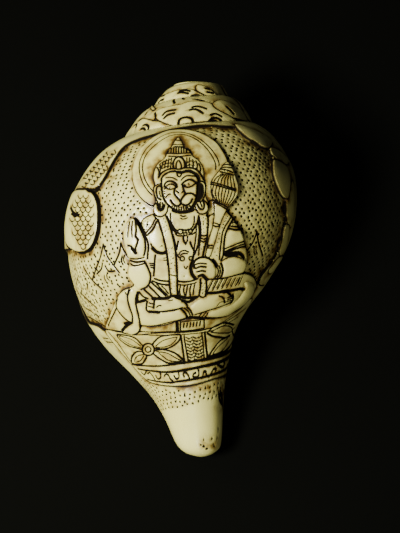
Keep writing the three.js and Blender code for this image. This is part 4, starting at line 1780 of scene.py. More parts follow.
@dataclass
class Torso:
    """The chest with its ornaments, the scarf and the waist cloth."""

    carving: Carving

    def draw(self) -> None:
        """Carve it."""
        pen = Drawing(self.carving, TORSO)
        pen.cut(
            Line.GOUGE,
            ((560, 690), (620, 745), (700, 770), (765, 755)),
            ((1195, 900), (1165, 1000), (1185, 1100), (1235, 1170)), ((320, 1400), (300, 1500)),
            ((560, 1492), (700, 1492), (800, 1480), (870, 1450), (980, 1455), (1100, 1482), (1260, 1470)),
            ((1300, 1130), (1345, 1110), (1400, 1165), (1430, 1190)),
        )
        pen.cut(
            Line.BOLD,
            ((640, 230), (680, 340), (720, 480), (760, 640), (790, 800), (810, 960), (820, 1120),
             (830, 1300), (850, 1440)),
            ((770, 170), (820, 290), (860, 420), (890, 560), (920, 720), (935, 880), (945, 1040),
             (950, 1200), (950, 1340), (962, 1440)),
            ((1290, 170), (1275, 280), (1225, 360), (1195, 405)),
            ((790, 190), (838, 300), (880, 390), (945, 445)), ((1040, 395), (1090, 402), (1130, 390)),
            ((1045, 500), (1055, 570), (1085, 622)), ((965, 580), (955, 640), (940, 705)),
            ((1155, 590), (1180, 660), (1218, 725)),
            ((1290, 280), (1302, 400), (1292, 560), (1270, 680), (1222, 790), (1200, 850), (1190, 930)),
            ((590, 1175), (680, 1205), (812, 1216)), ((555, 1212), (680, 1260), (812, 1276)),
            ((960, 1215), (1070, 1226), (1180, 1210), (1272, 1175)),
            ((600, 800), (590, 900), (585, 1000), (575, 1130)), ((780, 760), (792, 850), (800, 960)),
            ((1440, 190), (1442, 300), (1432, 440), (1420, 560), (1382, 700), (1362, 810)),
            ((1318, 1180), (1320, 1300), (1298, 1440)), ((1410, 1190), (1416, 1300), (1400, 1450)),
            ((1250, 1003), (1320, 972), (1402, 980)), ((1262, 1062), (1330, 1040), (1392, 1046)),
            ((340, 1390), (400, 1455), (480, 1495)), ((415, 1345), (500, 1420), (575, 1492)),
            ((490, 1285), (590, 1385), (668, 1465)), ((540, 1238), (660, 1345), (765, 1445)),
            ((1220, 1005), (1212, 920), (1262, 860), (1350, 830), (1450, 850), (1545, 925)),
        )
        pen.cut(
            Line.PLAIN,
            ((845, 130), (850, 250), (885, 340), (925, 395), (950, 405)),
            ((1220, 180), (1220, 280), (1190, 350), (1150, 385)), ((1000, 165), (1040, 182), (1085, 175)),
            ((920, 460), (960, 490), (1025, 492)), ((1138, 472), (1200, 462), (1230, 440)),
            ((1115, 500), (1112, 560), (1088, 620)),
            ((880, 470), (918, 600), (930, 740), (955, 805), (1000, 855)),
            ((1250, 300), (1252, 450), (1232, 620), (1210, 760), (1190, 850)),
            ((975, 790), (1010, 742), (1070, 725), (1132, 752)), ((1000, 802), (1050, 772), (1112, 776)),
            ((970, 1270), (1070, 1276), (1200, 1252), (1250, 1232)), ((510, 935), (590, 930)),
            ((518, 968), (590, 963)), ((528, 1000), (588, 995)),
            ((1302, 200), (1320, 300), (1330, 440), (1312, 560), (1300, 680), (1290, 800)),
            ((1320, 482), (1370, 492), (1422, 480)), ((1318, 522), (1370, 545), (1420, 525)),
            ((1316, 562), (1365, 590), (1412, 562)), ((1240, 940), (1310, 920), (1412, 930)),
            ((1300, 1450), (1350, 1472), (1400, 1450)), ((620, 1262), (720, 1365), (795, 1442)),
            ((700, 1292), (760, 1350), (808, 1412)), ((1000, 1290), (985, 1370), (1002, 1450)),
            ((1062, 1290), (1050, 1370), (1078, 1462)), ((1112, 1285), (1098, 1370), (1085, 1440)),
            ((1172, 1270), (1150, 1360), (1160, 1455)), ((1232, 1248), (1212, 1340), (1202, 1432)),
        )
        pen.cut(
            Line.FINE,
            ((1000, 210), (1050, 226), (1112, 205)), ((735, 848), (785, 843)), ((735, 880), (788, 876)),
            ((1060, 980), (1085, 1022), (1110, 980)), ((830, 1105), (935, 1130)),
            ((1500, 640), (1440, 660)),
        )
        beads = ((1000, 425), (1160, 420), (1080, 462), (1030, 856), (1165, 850))
        for spot, radius in zip(beads, (38, 30, 28, 36, 30)):
            pen.ring(Line.PLAIN, spot, radius)
        pen.dots(0.17, beads)
        pen.dots(0.3, ((707, 652), (1058, 1133)))
        pen.dots(
            0.2,
            ((735, 222), (762, 270), (712, 290), (785, 330), (745, 355), (812, 388), (762, 425),
             (770, 482), (870, 680), (810, 708), (830, 760), (890, 772), (850, 822), (842, 872),
             (892, 842), (907, 912), (852, 932), (907, 955), (845, 1015), (890, 1062), (850, 1182),
             (905, 1222), (855, 1252), (900, 1292), (860, 1332), (907, 1372), (872, 1405)),
        )
        pen.dots(
            0.19,
            ((1365, 205), (1398, 222), (1370, 262), (1415, 292), (1366, 315), (1415, 352), (1370, 378),
             (1372, 436), (1315, 640), (1368, 660), (1328, 702), (1366, 742), (1345, 1242), (1385, 1247),
             (1350, 1292), (1388, 1312), (1345, 1352), (1390, 1372), (1352, 1402)),
        )


@dataclass
class RaisedHand:
    """The arm that is raised with its palm forward, and its shoulder."""

    carving: Carving

    def draw(self) -> None:
        """Carve it."""
        pen = Drawing(self.carving, TORSO)
        pen.cut(
            Line.GOUGE,
            ((235, 690), (268, 735), (290, 762)), ((345, 300), (385, 380), (430, 462)),
        )
        pen.cut(
            Line.BOLD,
            ((250, 205), (290, 245), (330, 310), (372, 405), (418, 505), (440, 600), (440, 720),
             (420, 805)),
            ((285, 262), (300, 395), (292, 500), (322, 540)),
            ((163, 645), (215, 655), (245, 700), (285, 757)),
            ((330, 545), (318, 610), (292, 680), (288, 755)), ((200, 890), (290, 912), (432, 895)),
            ((430, 905), (480, 1000), (520, 1100), (520, 1200), (470, 1300), (370, 1350)),
            ((470, 482), (560, 390), (622, 262)),
            ((430, 485), (470, 560), (490, 660), (480, 780), (475, 860)),
        )
        pen.cut(
            Line.PLAIN,
            ((192, 268), (172, 400), (165, 512)), ((240, 258), (230, 380), (236, 512)),
            ((200, 855), (300, 862), (420, 840)), ((198, 940), (280, 966), (432, 932)),
            ((455, 440), (540, 340), (600, 220)), ((530, 622), (560, 690)),
            ((560, 150), (600, 200), (640, 235)),
        )
        pen.dots(
            0.19,
            ((410, 265), (442, 250), (482, 222), (515, 240), (398, 300), (430, 315), (468, 290),
             (502, 312), (455, 347), (492, 350), (425, 386), (462, 385)),
        )


@dataclass
class MaceArm:
    """The mace with its ribbed head, and the arm that holds it."""

    carving: Carving

    def draw(self) -> None:
        """Carve it."""
        self.carving.raise_level(self.carving.seen(MACE), 0.15, bulge=0.25)
        self.draw_arm()
        self.draw_head()

    def draw_arm(self) -> None:
        """Carve the shaft, the sleeve, the arm and the cloth over the knee."""
        pen = Drawing(self.carving, ARM)
        pen.cut(
            Line.GOUGE,
            ((412, 688), (500, 676), (590, 666), (650, 692), (682, 742)),
            ((440, 700), (520, 690), (600, 680)), ((170, 1230), (300, 1222), (430, 1196), (480, 1200)),
            ((480, 1196), (560, 1184), (640, 1168), (680, 1180)), ((250, 770), (280, 810), (300, 850)),
        )
        pen.cut(
            Line.BOLD,
            ((535, 200), (462, 320), (420, 430), (405, 560), (395, 700), (362, 772)),
            ((470, 325), (560, 346), (632, 340)), ((418, 672), (540, 622), (640, 590), (720, 582)),
            ((170, 1030), (300, 1030), (450, 1010), (600, 970), (690, 960)),
            ((362, 812), (386, 900), (372, 980), (345, 1018)),
            ((400, 1222), (450, 1215), (500, 1262), (526, 1322), (500, 1370)),
            ((0, 1530), (100, 1500), (250, 1450), (400, 1400), (500, 1362)),
            ((150, 1575), (280, 1580), (400, 1560), (520, 1520), (650, 1430), (725, 1365)),
        )
        pen.cut(
            Line.PLAIN,
            ((255, 285), (300, 302), (346, 290)), ((175, 600), (240, 602)),
            ((500, 182), (420, 300), (382, 400), (365, 520), (350, 640), (340, 760)),
            ((500, 295), (560, 302), (602, 305)), ((420, 610), (520, 570), (620, 530), (705, 508)),
            ((415, 648), (520, 604), (620, 566), (710, 545)),
            ((300, 860), (325, 920), (310, 980), (280, 1012)),
            ((335, 850), (352, 920), (336, 985), (310, 1018)), ((450, 1282), (492, 1275)),
            ((450, 1306), (498, 1300)), ((436, 1332), (502, 1326)), ((396, 1290), (400, 1352)),
            ((332, 1262), (382, 1282), (412, 1355)), ((870, 1070), (915, 1125), (972, 1118)),
        )
        # the sleeve's folds, each with a finer one beside it
        starts = (
            (250, 1050), (320, 1042), (382, 1036), (442, 1032), (502, 1028), (560, 1024), (620, 1016),
            (662, 1008),
        )
        for n, (x, y) in enumerate(starts):
            reach = 155 - 8 * n
            pen.cut(Line.PLAIN, ((x, y), (x - 0.22 * reach, y + 0.45 * reach), (x - 0.5 * reach, y + reach)))
            x -= 24
            fold = ((x, y + 4), (x - 0.2 * reach, y + 0.4 * reach), (x - 0.4 * reach, y + 0.85 * reach))
            pen.cut(Line.HAIR, fold)
        pen.cut(
            Line.FINE,
            ((265, 250), (340, 272)), ((180, 560), (250, 572)), ((520, 255), (552, 240), (592, 262)),
            ((370, 782), (450, 735), (560, 718), (640, 742)), ((300, 1400), (340, 1346), (382, 1340)),
        )
        pen.dots(
            0.22,
            ((455, 160), (435, 188), (415, 228), (400, 272), (385, 318), (335, 465), (320, 522),
             (315, 602), (280, 655), (305, 702), (535, 270), (345, 400)),
        )

    def draw_head(self) -> None:
        """Carve the mace's head."""
        pen = Drawing(self.carving, RIGHT)
        pen.cut(
            Line.PLAIN,
            ((355, 1035), (430, 1052), (520, 1082), (625, 1112)),
            ((352, 1055), (430, 1075), (520, 1102), (622, 1130)), ((475, 868), (530, 868), (590, 876)),
            ((462, 888), (530, 900), (592, 925)), ((450, 918), (530, 935), (600, 955)),
            ((385, 1240), (450, 1272), (530, 1312)), ((392, 1262), (450, 1295), (520, 1332)),
            ((490, 840), (532, 835), (570, 848)),
        )
        # the ribs above the head's band and below it, from left to right
        for share in (n / 6 for n in range(7)):
            low, high = 380 + 230 * share, 470 + 120 * share
            bow = 40 * (share - 0.5)
            middle = ((low + high) / 2 + bow * 0.4 - 10, 985 + 25 * share)
            pen.cut(Line.FINE, ((high, 940 + 20 * share), middle, (low + bow * 0.2, 1035 + 70 * share)))
        for share in (n / 7 for n in range(8)):
            high, low = 372 + 245 * share, 405 + 130 * share
            bow = 36 * (share - 0.5)
            middle = ((low + high) / 2 + bow - 8 * (1 - share), 1160 + 50 * share)
            pen.cut(Line.FINE, ((high, 1078 + 60 * share), middle, (low, 1238 + 55 * share)))
        pen.dots(0.2, ((540, 842), (500, 905), (530, 912), (560, 920)))


@dataclass
class Legs:
    """The crossed legs, the feet and the scarf's end over the knee."""

    carving: Carving

    def draw(self) -> None:
        """Carve them."""
        pen = Drawing(self.carving, LEGS)
        pen.cut(
            Line.GOUGE,
            ((355, 165), (360, 205), (430, 190)), ((790, 195), (840, 205), (890, 180)),
            ((240, 412), (300, 402), (255, 432), (212, 480)), ((732, 400), (738, 490)),
            ((760, 382), (870, 354), (990, 366)), ((470, 296), (560, 303)),
        )
        pen.cut(
            Line.BOLD,
            ((450, 200), (450, 290), (560, 300), (700, 282), (780, 262)),
            ((350, 140), (345, 230), (368, 330), (385, 430), (370, 492), (310, 520)),
            ((390, 430), (500, 436), (620, 412), (740, 382)), ((770, 270), (810, 310), (830, 352)),
            ((830, 255), (862, 290), (880, 332)),
            ((165, 180), (155, 250), (200, 322), (250, 372), (300, 402)),
            ((275, 92), (265, 160), (280, 240), (310, 330), (312, 402)), ((518, 190), (514, 262)),
            ((1260, 130), (1262, 180), (1230, 215)), ((1010, 356), (1100, 360), (1200, 342), (1290, 285)),
            ((720, 165), (790, 195), (830, 238)),
        )
        pen.cut(
            Line.PLAIN,
            ((800, 262), (842, 300), (860, 345)), ((945, 342), (968, 312), (985, 304)),
            ((972, 350), (1000, 312), (1012, 300)), ((1000, 348), (1026, 306)),
            ((160, 262), (122, 340), (80, 432)), ((50, 470), (200, 490), (310, 522)),
            ((462, 245), (518, 252)), ((470, 215), (516, 220)), ((540, 250), (560, 235), (582, 236)),
            ((765, 400), (766, 482)), ((990, 375), (992, 458)), ((765, 485), (880, 476), (992, 456)),
            ((765, 402), (880, 388), (988, 376)),
            *(((800 + 31 * n, 412 - 4 * n), (794 + 31 * n, 456 - 4 * n)) for n in range(6)),
            ((375, 490), (500, 496), (640, 493), (760, 491), (850, 487), (960, 475), (1080, 450),
             (1200, 395), (1300, 332), (1390, 262)),
        )
        pen.cut(
            Line.FINE,
            ((240, 110), (268, 142), (290, 92)), ((655, 190), (692, 185)),
            ((400, 520), (540, 527), (700, 525), (850, 515), (970, 500), (1090, 475), (1200, 420),
             (1310, 352)),
        )


@dataclass
class Pedestal:
    """The seat's drum with two flowers, a scaled column and a band of curls."""

    carving: Carving

    def draw(self) -> None:
        """Carve it."""
        self.carving.raise_level(self.carving.seen(SEAT), 0.0, stain=0.8)
        pen = Drawing(self.carving, PEDESTAL)
        pen.ring(Line.BOLD, (480, 335), 64)
        pen.ring(Line.PLAIN, (478, 335), 30)
        pen.cut(
            Line.BOLD,
            ((410, 335), (280, 300), (190, 240), (150, 182), (240, 185), (340, 215), (415, 290)),
            ((520, 285), (600, 205), (700, 185), (820, 180), (800, 250), (720, 310), (640, 330),
             (550, 322)),
            ((550, 346), (640, 336), (760, 372), (850, 448), (866, 470), (760, 480), (680, 476),
             (600, 432), (540, 386)),
            ((430, 366), (370, 355), (320, 390), (300, 440), (310, 482), (370, 492), (420, 482),
             (455, 430), (466, 396)),
            ((825, 190), (845, 320), (866, 480)), ((1080, 150), (1095, 290), (1110, 440)),
            ((1110, 150), (1200, 80), (1300, 52), (1390, 75)),
            ((1110, 165), (1180, 196), (1290, 211), (1332, 190)),
            ((1120, 410), (1180, 320), (1260, 230), (1350, 185)),
            ((1120, 412), (1230, 390), (1330, 320), (1382, 230)),
            ((310, 492), (420, 506), (600, 511), (760, 491), (900, 470), (1080, 441), (1250, 400),
             (1380, 340)),
            ((370, 540), (500, 561), (680, 575), (850, 556), (1000, 526), (1200, 480), (1370, 412)),
        )
        pen.cut(
            Line.PLAIN,
            ((860, 190), (880, 320), (905, 466)), ((1050, 160), (1065, 300), (1076, 442)),
            ((60, 150), (160, 270), (240, 390), (310, 490)),
            ((470, 652), (560, 671), (700, 686), (850, 666), (1010, 640), (1200, 590), (1362, 520)),
            ((1400, 100), (1372, 130), (1380, 170), (1412, 190)), ((402, 572), (438, 602), (462, 558)),
            ((472, 592), (496, 580), (522, 610), (550, 656)),
            ((560, 610), (580, 648), (612, 630), (606, 580)),
            ((650, 618), (668, 596), (696, 612), (712, 645), (738, 668)),
            ((752, 612), (776, 646), (806, 630), (800, 580)),
            ((862, 622), (848, 596), (870, 578), (900, 600), (922, 656)),
            ((985, 582), (960, 592), (955, 620), (990, 630), (1018, 600), (1010, 540)),
            ((1062, 600), (1072, 566), (1098, 578), (1095, 610), (1132, 616), (1156, 570), (1182, 535),
             (1205, 550)),
            ((1216, 490), (1260, 520), (1292, 500), (1285, 460)), ((1310, 512), (1345, 490), (1352, 440)),
        )
        pen.cut(
            Line.FINE,
            ((405, 316), (330, 300), (230, 250), (172, 192), (300, 228), (400, 300)),
            ((560, 300), (640, 240), (782, 205), (740, 270), (660, 306), (562, 312)),
            ((570, 358), (680, 375), (780, 430), (832, 460), (700, 452), (592, 372)),
            ((430, 388), (370, 402), (338, 440), (342, 470), (400, 450), (432, 402)),
            ((1150, 150), (1250, 92), (1330, 86), (1372, 120), (1340, 155), (1250, 160), (1152, 152)),
            ((1160, 396), (1220, 310), (1322, 215)), ((1162, 396), (1262, 350), (1332, 250)),
        )
        # the scales of the column between the flowers
        for row in range(8):
            y = 205 + 34 * row
            shift = 4 * row
            wave = [(x + shift, y + up) for x, up in ((880, 0), (915, 16), (950, -4), (990, 10))]
            pen.cut(Line.FINE, (*wave, (1046 + shift * 0.7, y - 14)))
            for n in range(4):
                x = 905 + shift + 36 * n + (14 if row % 2 else 0)
                pen.cut(Line.HAIR, ((x, y + 6 - 4 * n), (x + 6, y + 28 - 4 * n)))


@dataclass
class Landscape:
    """The stippled ground with its peaks and grass."""

    carving: Carving
    seed: int = 7
    # millimetres between the dots of a row and between rows, the shift of every other row, the unevenness
    gap: float = 2.75
    row_gap: float = 2.0
    shift: float = 1.35
    uneven: float = 0.3
    # how far the dots stay off the ground's edge, what is raised, and the cuts, in millimetres
    edge_margin: float = 0.9
    raised_margin: float = 0.8
    cut_margin: float = 0.7
    radii: tuple[float, float] = (0.46, 0.57)

    def draw(self) -> None:
        """Carve it."""
        pen = Drawing(self.carving, UPPER)
        pen.cut(
            Line.BOLD,
            ((268, 1140), (250, 1220), (222, 1300), (198, 1372)),
            ((268, 1140), (295, 1220), (340, 1285), (376, 1330)), ((385, 1130), (375, 1200), (338, 1285)),
            ((385, 1130), (410, 1190), (445, 1235)), ((1302, 1062), (1275, 1130), (1232, 1190)),
            ((1302, 1062), (1315, 1140), (1340, 1222)),
        )
        pen.cut(
            Line.PLAIN,
            ((395, 1218), (388, 1250), (398, 1275)), ((410, 1215), (404, 1245), (414, 1270)),
            ((1285, 1160), (1282, 1190), (1290, 1215)), ((1298, 1158), (1296, 1188), (1304, 1210)),
        )
        pen = Drawing(self.carving, LOWER)
        pen.cut(
            Line.BOLD,
            ((262, 92), (255, 130), (225, 162)), ((280, 108), (305, 145), (345, 142)),
            ((135, 112), (165, 165), (205, 215), (262, 265)), ((120, 290), (160, 330), (222, 385)),
            ((160, 440), (200, 462), (290, 515)),
        )
        pen.cut(
            Line.PLAIN,
            ((275, 172), (278, 195), (288, 212)), ((292, 168), (295, 190), (308, 206)),
            ((395, 50), (392, 80), (402, 100)), ((195, 285), (200, 300), (212, 310)),
            ((80, 120), (100, 170), (90, 230)), ((100, 200), (125, 250), (120, 300)),
            ((85, 250), (110, 300), (150, 350)), ((150, 190), (165, 225), (160, 260)),
            ((110, 330), (135, 372), (175, 402)), ((180, 400), (205, 425), (240, 445)),
            ((282, 575), (315, 580)), ((300, 600), (342, 604)),
        )
        self.stipple()

    def stipple(self) -> None:
        """Prick the ground full of dots, in staggered rows, wherever nothing stands on it."""
        carving = self.carving
        ground = spline(ground_outline(carving), True, 3)
        raised = [spline(carving.seen(outline), True, 3) for outline in (HALO, FIGURE, MACE, SEAT)]
        rng = np.random.default_rng(self.seed)
        low, high = ground.min(0), ground.max(0)
        spots = []
        v, row = low[1], 0
        while v < high[1]:
            u = low[0]
            scale = float(carving.chart.scale(np.array(u), np.array(v)))
            while u < high[0]:
                scale = float(carving.chart.scale(np.array(u), np.array(v)))
                u += self.gap / scale
                spots.append((u + (self.shift / scale if row % 2 else 0), v, scale))
            v += self.row_gap / scale
            row += 1
        table = np.array(spots)
        scale = table[:, 2]
        places = table[:, :2] + rng.normal(0, self.uneven, (len(table), 2)) / table[:, 2:]
        clear = inside(places, ground) & (distance(places, ground, True) * scale > self.edge_margin)
        for outline in raised:
            away = distance(places, outline, True) * scale
            clear &= ~inside(places, outline) & (away > self.raised_margin)
        for cut in carving.cuts:
            clear &= distance(places, cut.path[::2], cut.closed) * scale > self.cut_margin
        radii = rng.uniform(*self.radii, len(places))
        for (u, v), radius in zip(places[clear], radii[clear]):
            carving.dots.append((u, v, radius))
        log.info("stipple: %d dots", int(clear.sum()))


@dataclass
class Border:
    """The scaled coil on the left edge of the ground and the petals on its right edge."""

    carving: Carving

    def draw(self) -> None:
        """Carve it."""
        carving = self.carving
        carving.raise_level(carving.seen(COIL_RIM), 0.1, bulge=0.5, foot=1.0, foot_half=0.45, stain=0.9)
        for leaf in LEAVES:
            carving.raise_level(carving.seen(LEAF.pixels(leaf)), 0.2, bulge=0.4, foot=0.85, stain=0.9)
        pen = Drawing(self.carving, UPPER)
        self.scales(pen, BORDER_COIL, 34, 30, 0.0)
        self.scales(pen, BORDER_TAIL, 32, 30, math.radians(-48))
        pen.cut(Line.GOUGE, ((176, 776), (205, 792), (238, 775)), ((76, 897), (100, 938), (130, 950)))
        pen.cut(Line.BOLD, ((80, 940), (110, 955), (135, 945)))

    def scales(self, pen: Drawing, outline: Points, wide: float, high: float, lean: float) -> None:
        """Cut staggered scales inside an outline.

        Args:
            pen: The drawing.
            outline: The outline, on the drawing's enlargement.
            wide: Width of a scale.
            high: Height of a row.
            lean: How far the rows are turned.
        """
        area = np.array(outline, float)
        middle = area.mean(0)
        turn = np.array([[math.cos(lean), -math.sin(lean)], [math.sin(lean), math.cos(lean)]])
        arc = np.array(SCALE_ARC) * (wide, high)
        for row in range(-SCALE_ROWS, SCALE_ROWS + 1):
            for column in range(-SCALE_ROWS, SCALE_ROWS + 1):
                spot = np.array([(column + (row % 2) / 2) * wide, row * high])
                path = middle + (spot + arc) @ turn.T
                if inside(path, area).all():
                    pen.cut(Line.FINE, [tuple(point) for point in path])


@dataclass
class Spire:
    """The petals that overlap round the spire, with their paired strokes."""

    carving: Carving

    def draw(self) -> None:
        """Carve it."""
        carving = self.carving
        for petal in PETALS:
            carving.raise_level(carving.seen(TOP.pixels(petal)), 0.25, bulge=0.35, foot=0.85, stain=0.75)
        for turn, lines in ((1, (Line.BOLD, Line.GOUGE)), (2, (Line.FINE, Line.PLAIN))):
            for start in (-220, -256, -292, -328, -364):
                self.petal(start - 360 * turn, *lines)
        pen = Drawing(self.carving, TOP)
        pen.cut(
            Line.STROKE,
            ((658, 552), (672, 505), (732, 480), (798, 492), (815, 522)),
            ((612, 312), (602, 282), (622, 250), (680, 240), (718, 268)),
            ((805, 238), (860, 228), (918, 245)), ((822, 265), (880, 274), (938, 286)),
            ((955, 155), (1000, 162)), ((975, 197), (1042, 206)), ((1188, 362), (1228, 398), (1268, 440)),
            ((1015, 455), (1070, 440), (1135, 470)), ((262, 572), (300, 562), (328, 588), (312, 628)),
            ((238, 612), (270, 602), (288, 622), (276, 648)), ((55, 720), (75, 682)),
        )
        pen.cut(
            Line.STROKE,
            ((485, 455), (530, 415), (625, 397)), ((497, 490), (540, 455), (612, 437)),
            ((810, 370), (870, 358), (965, 385)), ((783, 400), (850, 392), (930, 435)),
            ((650, 210), (700, 200), (765, 212)), ((675, 183), (730, 175), (785, 185)),
            ((430, 280), (465, 245), (505, 232)), ((435, 320), (460, 290), (492, 280)),
            ((992, 525), (1030, 490), (1080, 485), (1130, 510)), ((1030, 512), (1068, 516)),
            ((215, 520), (250, 495)), ((160, 580), (195, 555), (190, 590)), ((285, 440), (305, 410)),
            ((392, 420), (402, 468), (380, 512)),
        )

    def petal(self, start: float, stroke: Line, mark: Line) -> None:
        """Carve one petal of the side that the photograph doesn't show.

        Args:
            start: The growth angle of its middle, in degrees.
            stroke: How wide its strokes are.
            mark: How wide the crescent at its foot is.
        """
        carving = self.carving
        shape = ((-25, 5.9), (-21, 3.4), (-8, 1.7), (8, 1.3), (21, 2.7), (26, 5.9))
        outline = carving.placed([(start + t, p) for t, p in shape])
        carving.raise_level(outline, 0.25, bulge=0.35, foot=0.85, stain=0.75)
        for strokes, line in (
            (((-12, 3.6), (-6, 2.9), (2, 2.7)), stroke),
            (((-12, 4.1), (-6, 3.4), (2, 3.2)), stroke),
            (((6, 3.1), (12, 3.2), (17, 3.9)), stroke),
            (((-4, 5.5), (-2, 4.8), (4, 4.6), (8, 5.2)), mark),
        ):
            carving.engrave(carving.placed([(start + t, p) for t, p in strokes]), line)


@dataclass
class Neck:
    """The stippled neck and the polished canal with its pits."""

    carving: Carving
    seed: int = 3
    # where the stipple ends, as (growth angle in degrees, place along the outline)
    edge: Points = ((-330, 15.3), (-200, 15.16), (-100, 14.97), (-33, 14.73), (-6, 14.6))
    start: float = 13.5
    rows: int = 10
    row_gap: float = 0.13
    radius: float = 0.44
    margin: float = 0.9
    # a row starts within so many degrees of the edge's start and stops so many short of its end
    first: float = 6.0
    last: float = 3.0
    # millimetres between two dots, and how far down the outline they stray from their row
    gaps: tuple[float, float] = (1.9, 2.5)
    stray: float = 0.015
    # soft brown stains with their strength, then small pits with their radius, on the canal's enlargement
    stains: tuple[tuple[float, Points], ...] = (
        (0.75, ((420, 60), (520, 50), (540, 120), (500, 160), (430, 140))),
        (1.0, ((575, 110), (640, 90), (655, 200), (640, 270), (600, 190))),
        (0.45, ((545, 200), (600, 230), (610, 290), (560, 290))),
        (0.5, ((425, 500), (520, 490), (600, 490), (600, 585), (520, 615), (440, 600))),
    )
    pits: tuple[tuple[float, Points], ...] = (
        (0.6, ((470, 572), (494, 592))),
        (0.42, ((448, 560), (552, 570), (536, 512), (630, 205))),
        (0.3, ((578, 504), (470, 522), (548, 552), (585, 440), (615, 150))),
    )

    def low(self, t: np.ndarray) -> np.ndarray:
        """The place along the outline where the stipple ends, for growth angles in degrees."""
        table = np.array(self.edge)
        return np.interp(t, table[:, 0], table[:, 1])

    def tint(self) -> None:
        """Stain the stippled part and the patches of the canal; the pedestal is carved over it later."""
        carving = self.carving
        turns = np.arange(self.edge[0][0], self.edge[-1][0], 5.0)
        top = np.stack([turns, np.full(len(turns), self.start)], axis=1)
        bottom = np.stack([turns, self.low(turns) + self.row_gap / 2], axis=1)[::-1]
        patch = {"raised": False, "foot": 0.0}
        neck = carving.placed(np.concatenate([top, bottom]))
        carving.raise_level(neck, 0.0, straight=True, stain=0.3, tint=0.3, edge=1.0, **patch)
        for strength, outline in self.stains:
            spots = carving.seen(CANAL.pixels(outline))
            carving.raise_level(spots, 0.0, stain=strength, tint=strength, edge=2.2, **patch)

    def draw(self) -> None:
        """Carve it."""
        carving = self.carving
        pen = Drawing(carving, LOWER)
        pen.cut(Line.PLAIN, ((1035, 930), (1046, 985), (1068, 1030), (1070, 1150), (1062, 1320)))
        pen.cut(Line.BOLD, ((1046, 925), (1062, 985)))
        pen = Drawing(carving, CANAL)
        for radius, spots in self.pits:
            pen.dots(radius, spots)
        rng = np.random.default_rng(self.seed)
        seat = spline(carving.seen(SEAT), True, 3)
        spots = []
        for row in range(self.rows):
            t = self.edge[0][0] + rng.uniform(0, self.first)
            while t < self.edge[-1][0] - self.last:
                place = carving.placed([(t, self.low(t) - row * self.row_gap + rng.normal(0, self.stray))])
                spots.append(place[0])
                t += math.degrees(rng.uniform(*self.gaps) / float(carving.scale(place)[0]))
        table = np.array(spots)
        clear = ~inside(table, seat) & (distance(table, seat, True) * carving.scale(table) > self.margin)
        carving.dot(table[clear], self.radius)


def ground_outline(carving: Carving) -> np.ndarray:
    """Chart points round the sunk ground, which runs on past the shell's left edge out of sight."""
    outline = carving.seen(GROUND)
    outline[GROUND_HIDDEN, 0] = np.radians(GROUND_HIDDEN_EDGE)
    return outline


def carve(carving: Carving) -> None:
    """Draw everything that is carved."""
    # the sunk ground: stain that is dirt and painted shade along its edge, and a lighter tint of it all over
    sunk = {"raised": False, "stain": 1.1, "foot": 0.9, "foot_half": 0.32, "tint": 0.3}
    carving.raise_level(ground_outline(carving), -1.2, **sunk)
    Neck(carving).tint()
    Halo(carving).draw()
    # the figure and its limbs leave stain and painted shade on the ground round their feet
    carving.raise_level(carving.seen(FIGURE), -0.3, bulge=0.6, reach=1.5, stain=1.1)
    for view, outline, height, bulge in LIMBS:
        swelling = {"bulge": bulge, "reach": 1.6, "foot": 0.0, "stain": 0.55}
        carving.raise_level(carving.seen(view.pixels(outline)), height, **swelling)
    Pedestal(carving).draw()
    for part in (Crown, Face, Torso, RaisedHand, MaceArm, Legs, Spire, Border, Neck, Landscape):
        part(carving).draw()


@dataclass
class Conch:
    """The whole shell, dressed and laid down."""

    growth: Growth
    chart: Chart
    carving: Carving
    finish: bpy.types.Material
    rest: Rest
    # half the side and the height of the block above the ground, in metres
    block: float = 0.2
    # the skin's marks are carried this far, in millimetres
    mark_reach: float = 0.6

    def build(self) -> bpy.types.Object:
        """Make the piece.

        Returns:
            The finished object, with its marks as point attributes.
        """
        shell, skin, marks = Outside(self.growth, self.chart, self.carving).build()
        inside = Inside(self.growth, GrownSurface(self.growth), self.finish)
        combine(shell, mesh_of(inside.spreading()), "UNION")
        combine(shell, mesh_of(inside.passage()), "DIFFERENCE")
        combine(shell, inside.canal_slot(), "DIFFERENCE")
        combine(shell, inside.worn_apex(), "DIFFERENCE")
        self.lay(shell)
        self.cut_ground(shell)
        self.mark(shell, self.rest.points(self.growth.leaning(skin)), marks)
        shell.name = shell.data.name = "shell_carved"
        shell.data.materials.clear()
        shell.data.materials.append(self.finish)
        for polygon in shell.data.polygons:
            polygon.material_index = 0
        shell.data.shade_smooth()
        log.info("shell: %d triangles", len(shell.data.polygons))
        return shell

    def lay(self, shell: bpy.types.Object) -> None:
        """Lean the canal over and lay the shell down."""
        points = np.empty(len(shell.data.vertices) * 3)
        shell.data.vertices.foreach_get("co", points)
        points = self.rest.points(self.growth.leaning(points.reshape(-1, 3)))
        shell.data.vertices.foreach_set("co", points.ravel())
        shell.data.update()

    def cut_ground(self, shell: bpy.types.Object) -> None:
        """Take off what is below the ground, which leaves the worn flats that it rests on."""
        reach = self.block
        sides = (-reach, reach)
        corners = np.array([(x, y, z) for x in sides for y in sides for z in (0, reach)])
        quads = ((0, 1, 3, 2), (4, 6, 7, 5), (0, 4, 5, 1), (2, 3, 7, 6), (0, 2, 6, 4), (1, 5, 7, 3))
        faces = np.array([f for a, b, c, d in quads for f in ((a, b, c), (a, c, d))])
        combine(shell, outward("above", corners, faces), "INTERSECT")

    def mark(self, shell: bpy.types.Object, skin: np.ndarray, marks: np.ndarray) -> None:
        """Carry the ink and the stain with its painted shade to the finished mesh from the nearest points of
        the skin.
        """
        tree = tree_of(skin)
        values = np.zeros((len(shell.data.vertices), 2))
        for n, vertex in enumerate(shell.data.vertices):
            _, index, away = tree.find(vertex.co)
            values[n] = marks[index] if away < self.mark_reach * MM else 0
        for column, name in enumerate(("ink", "stain")):
            made = shell.data.attributes.new(name, "FLOAT", "POINT")
            made.data.foreach_set("value", np.ascontiguousarray(values[:, column]))


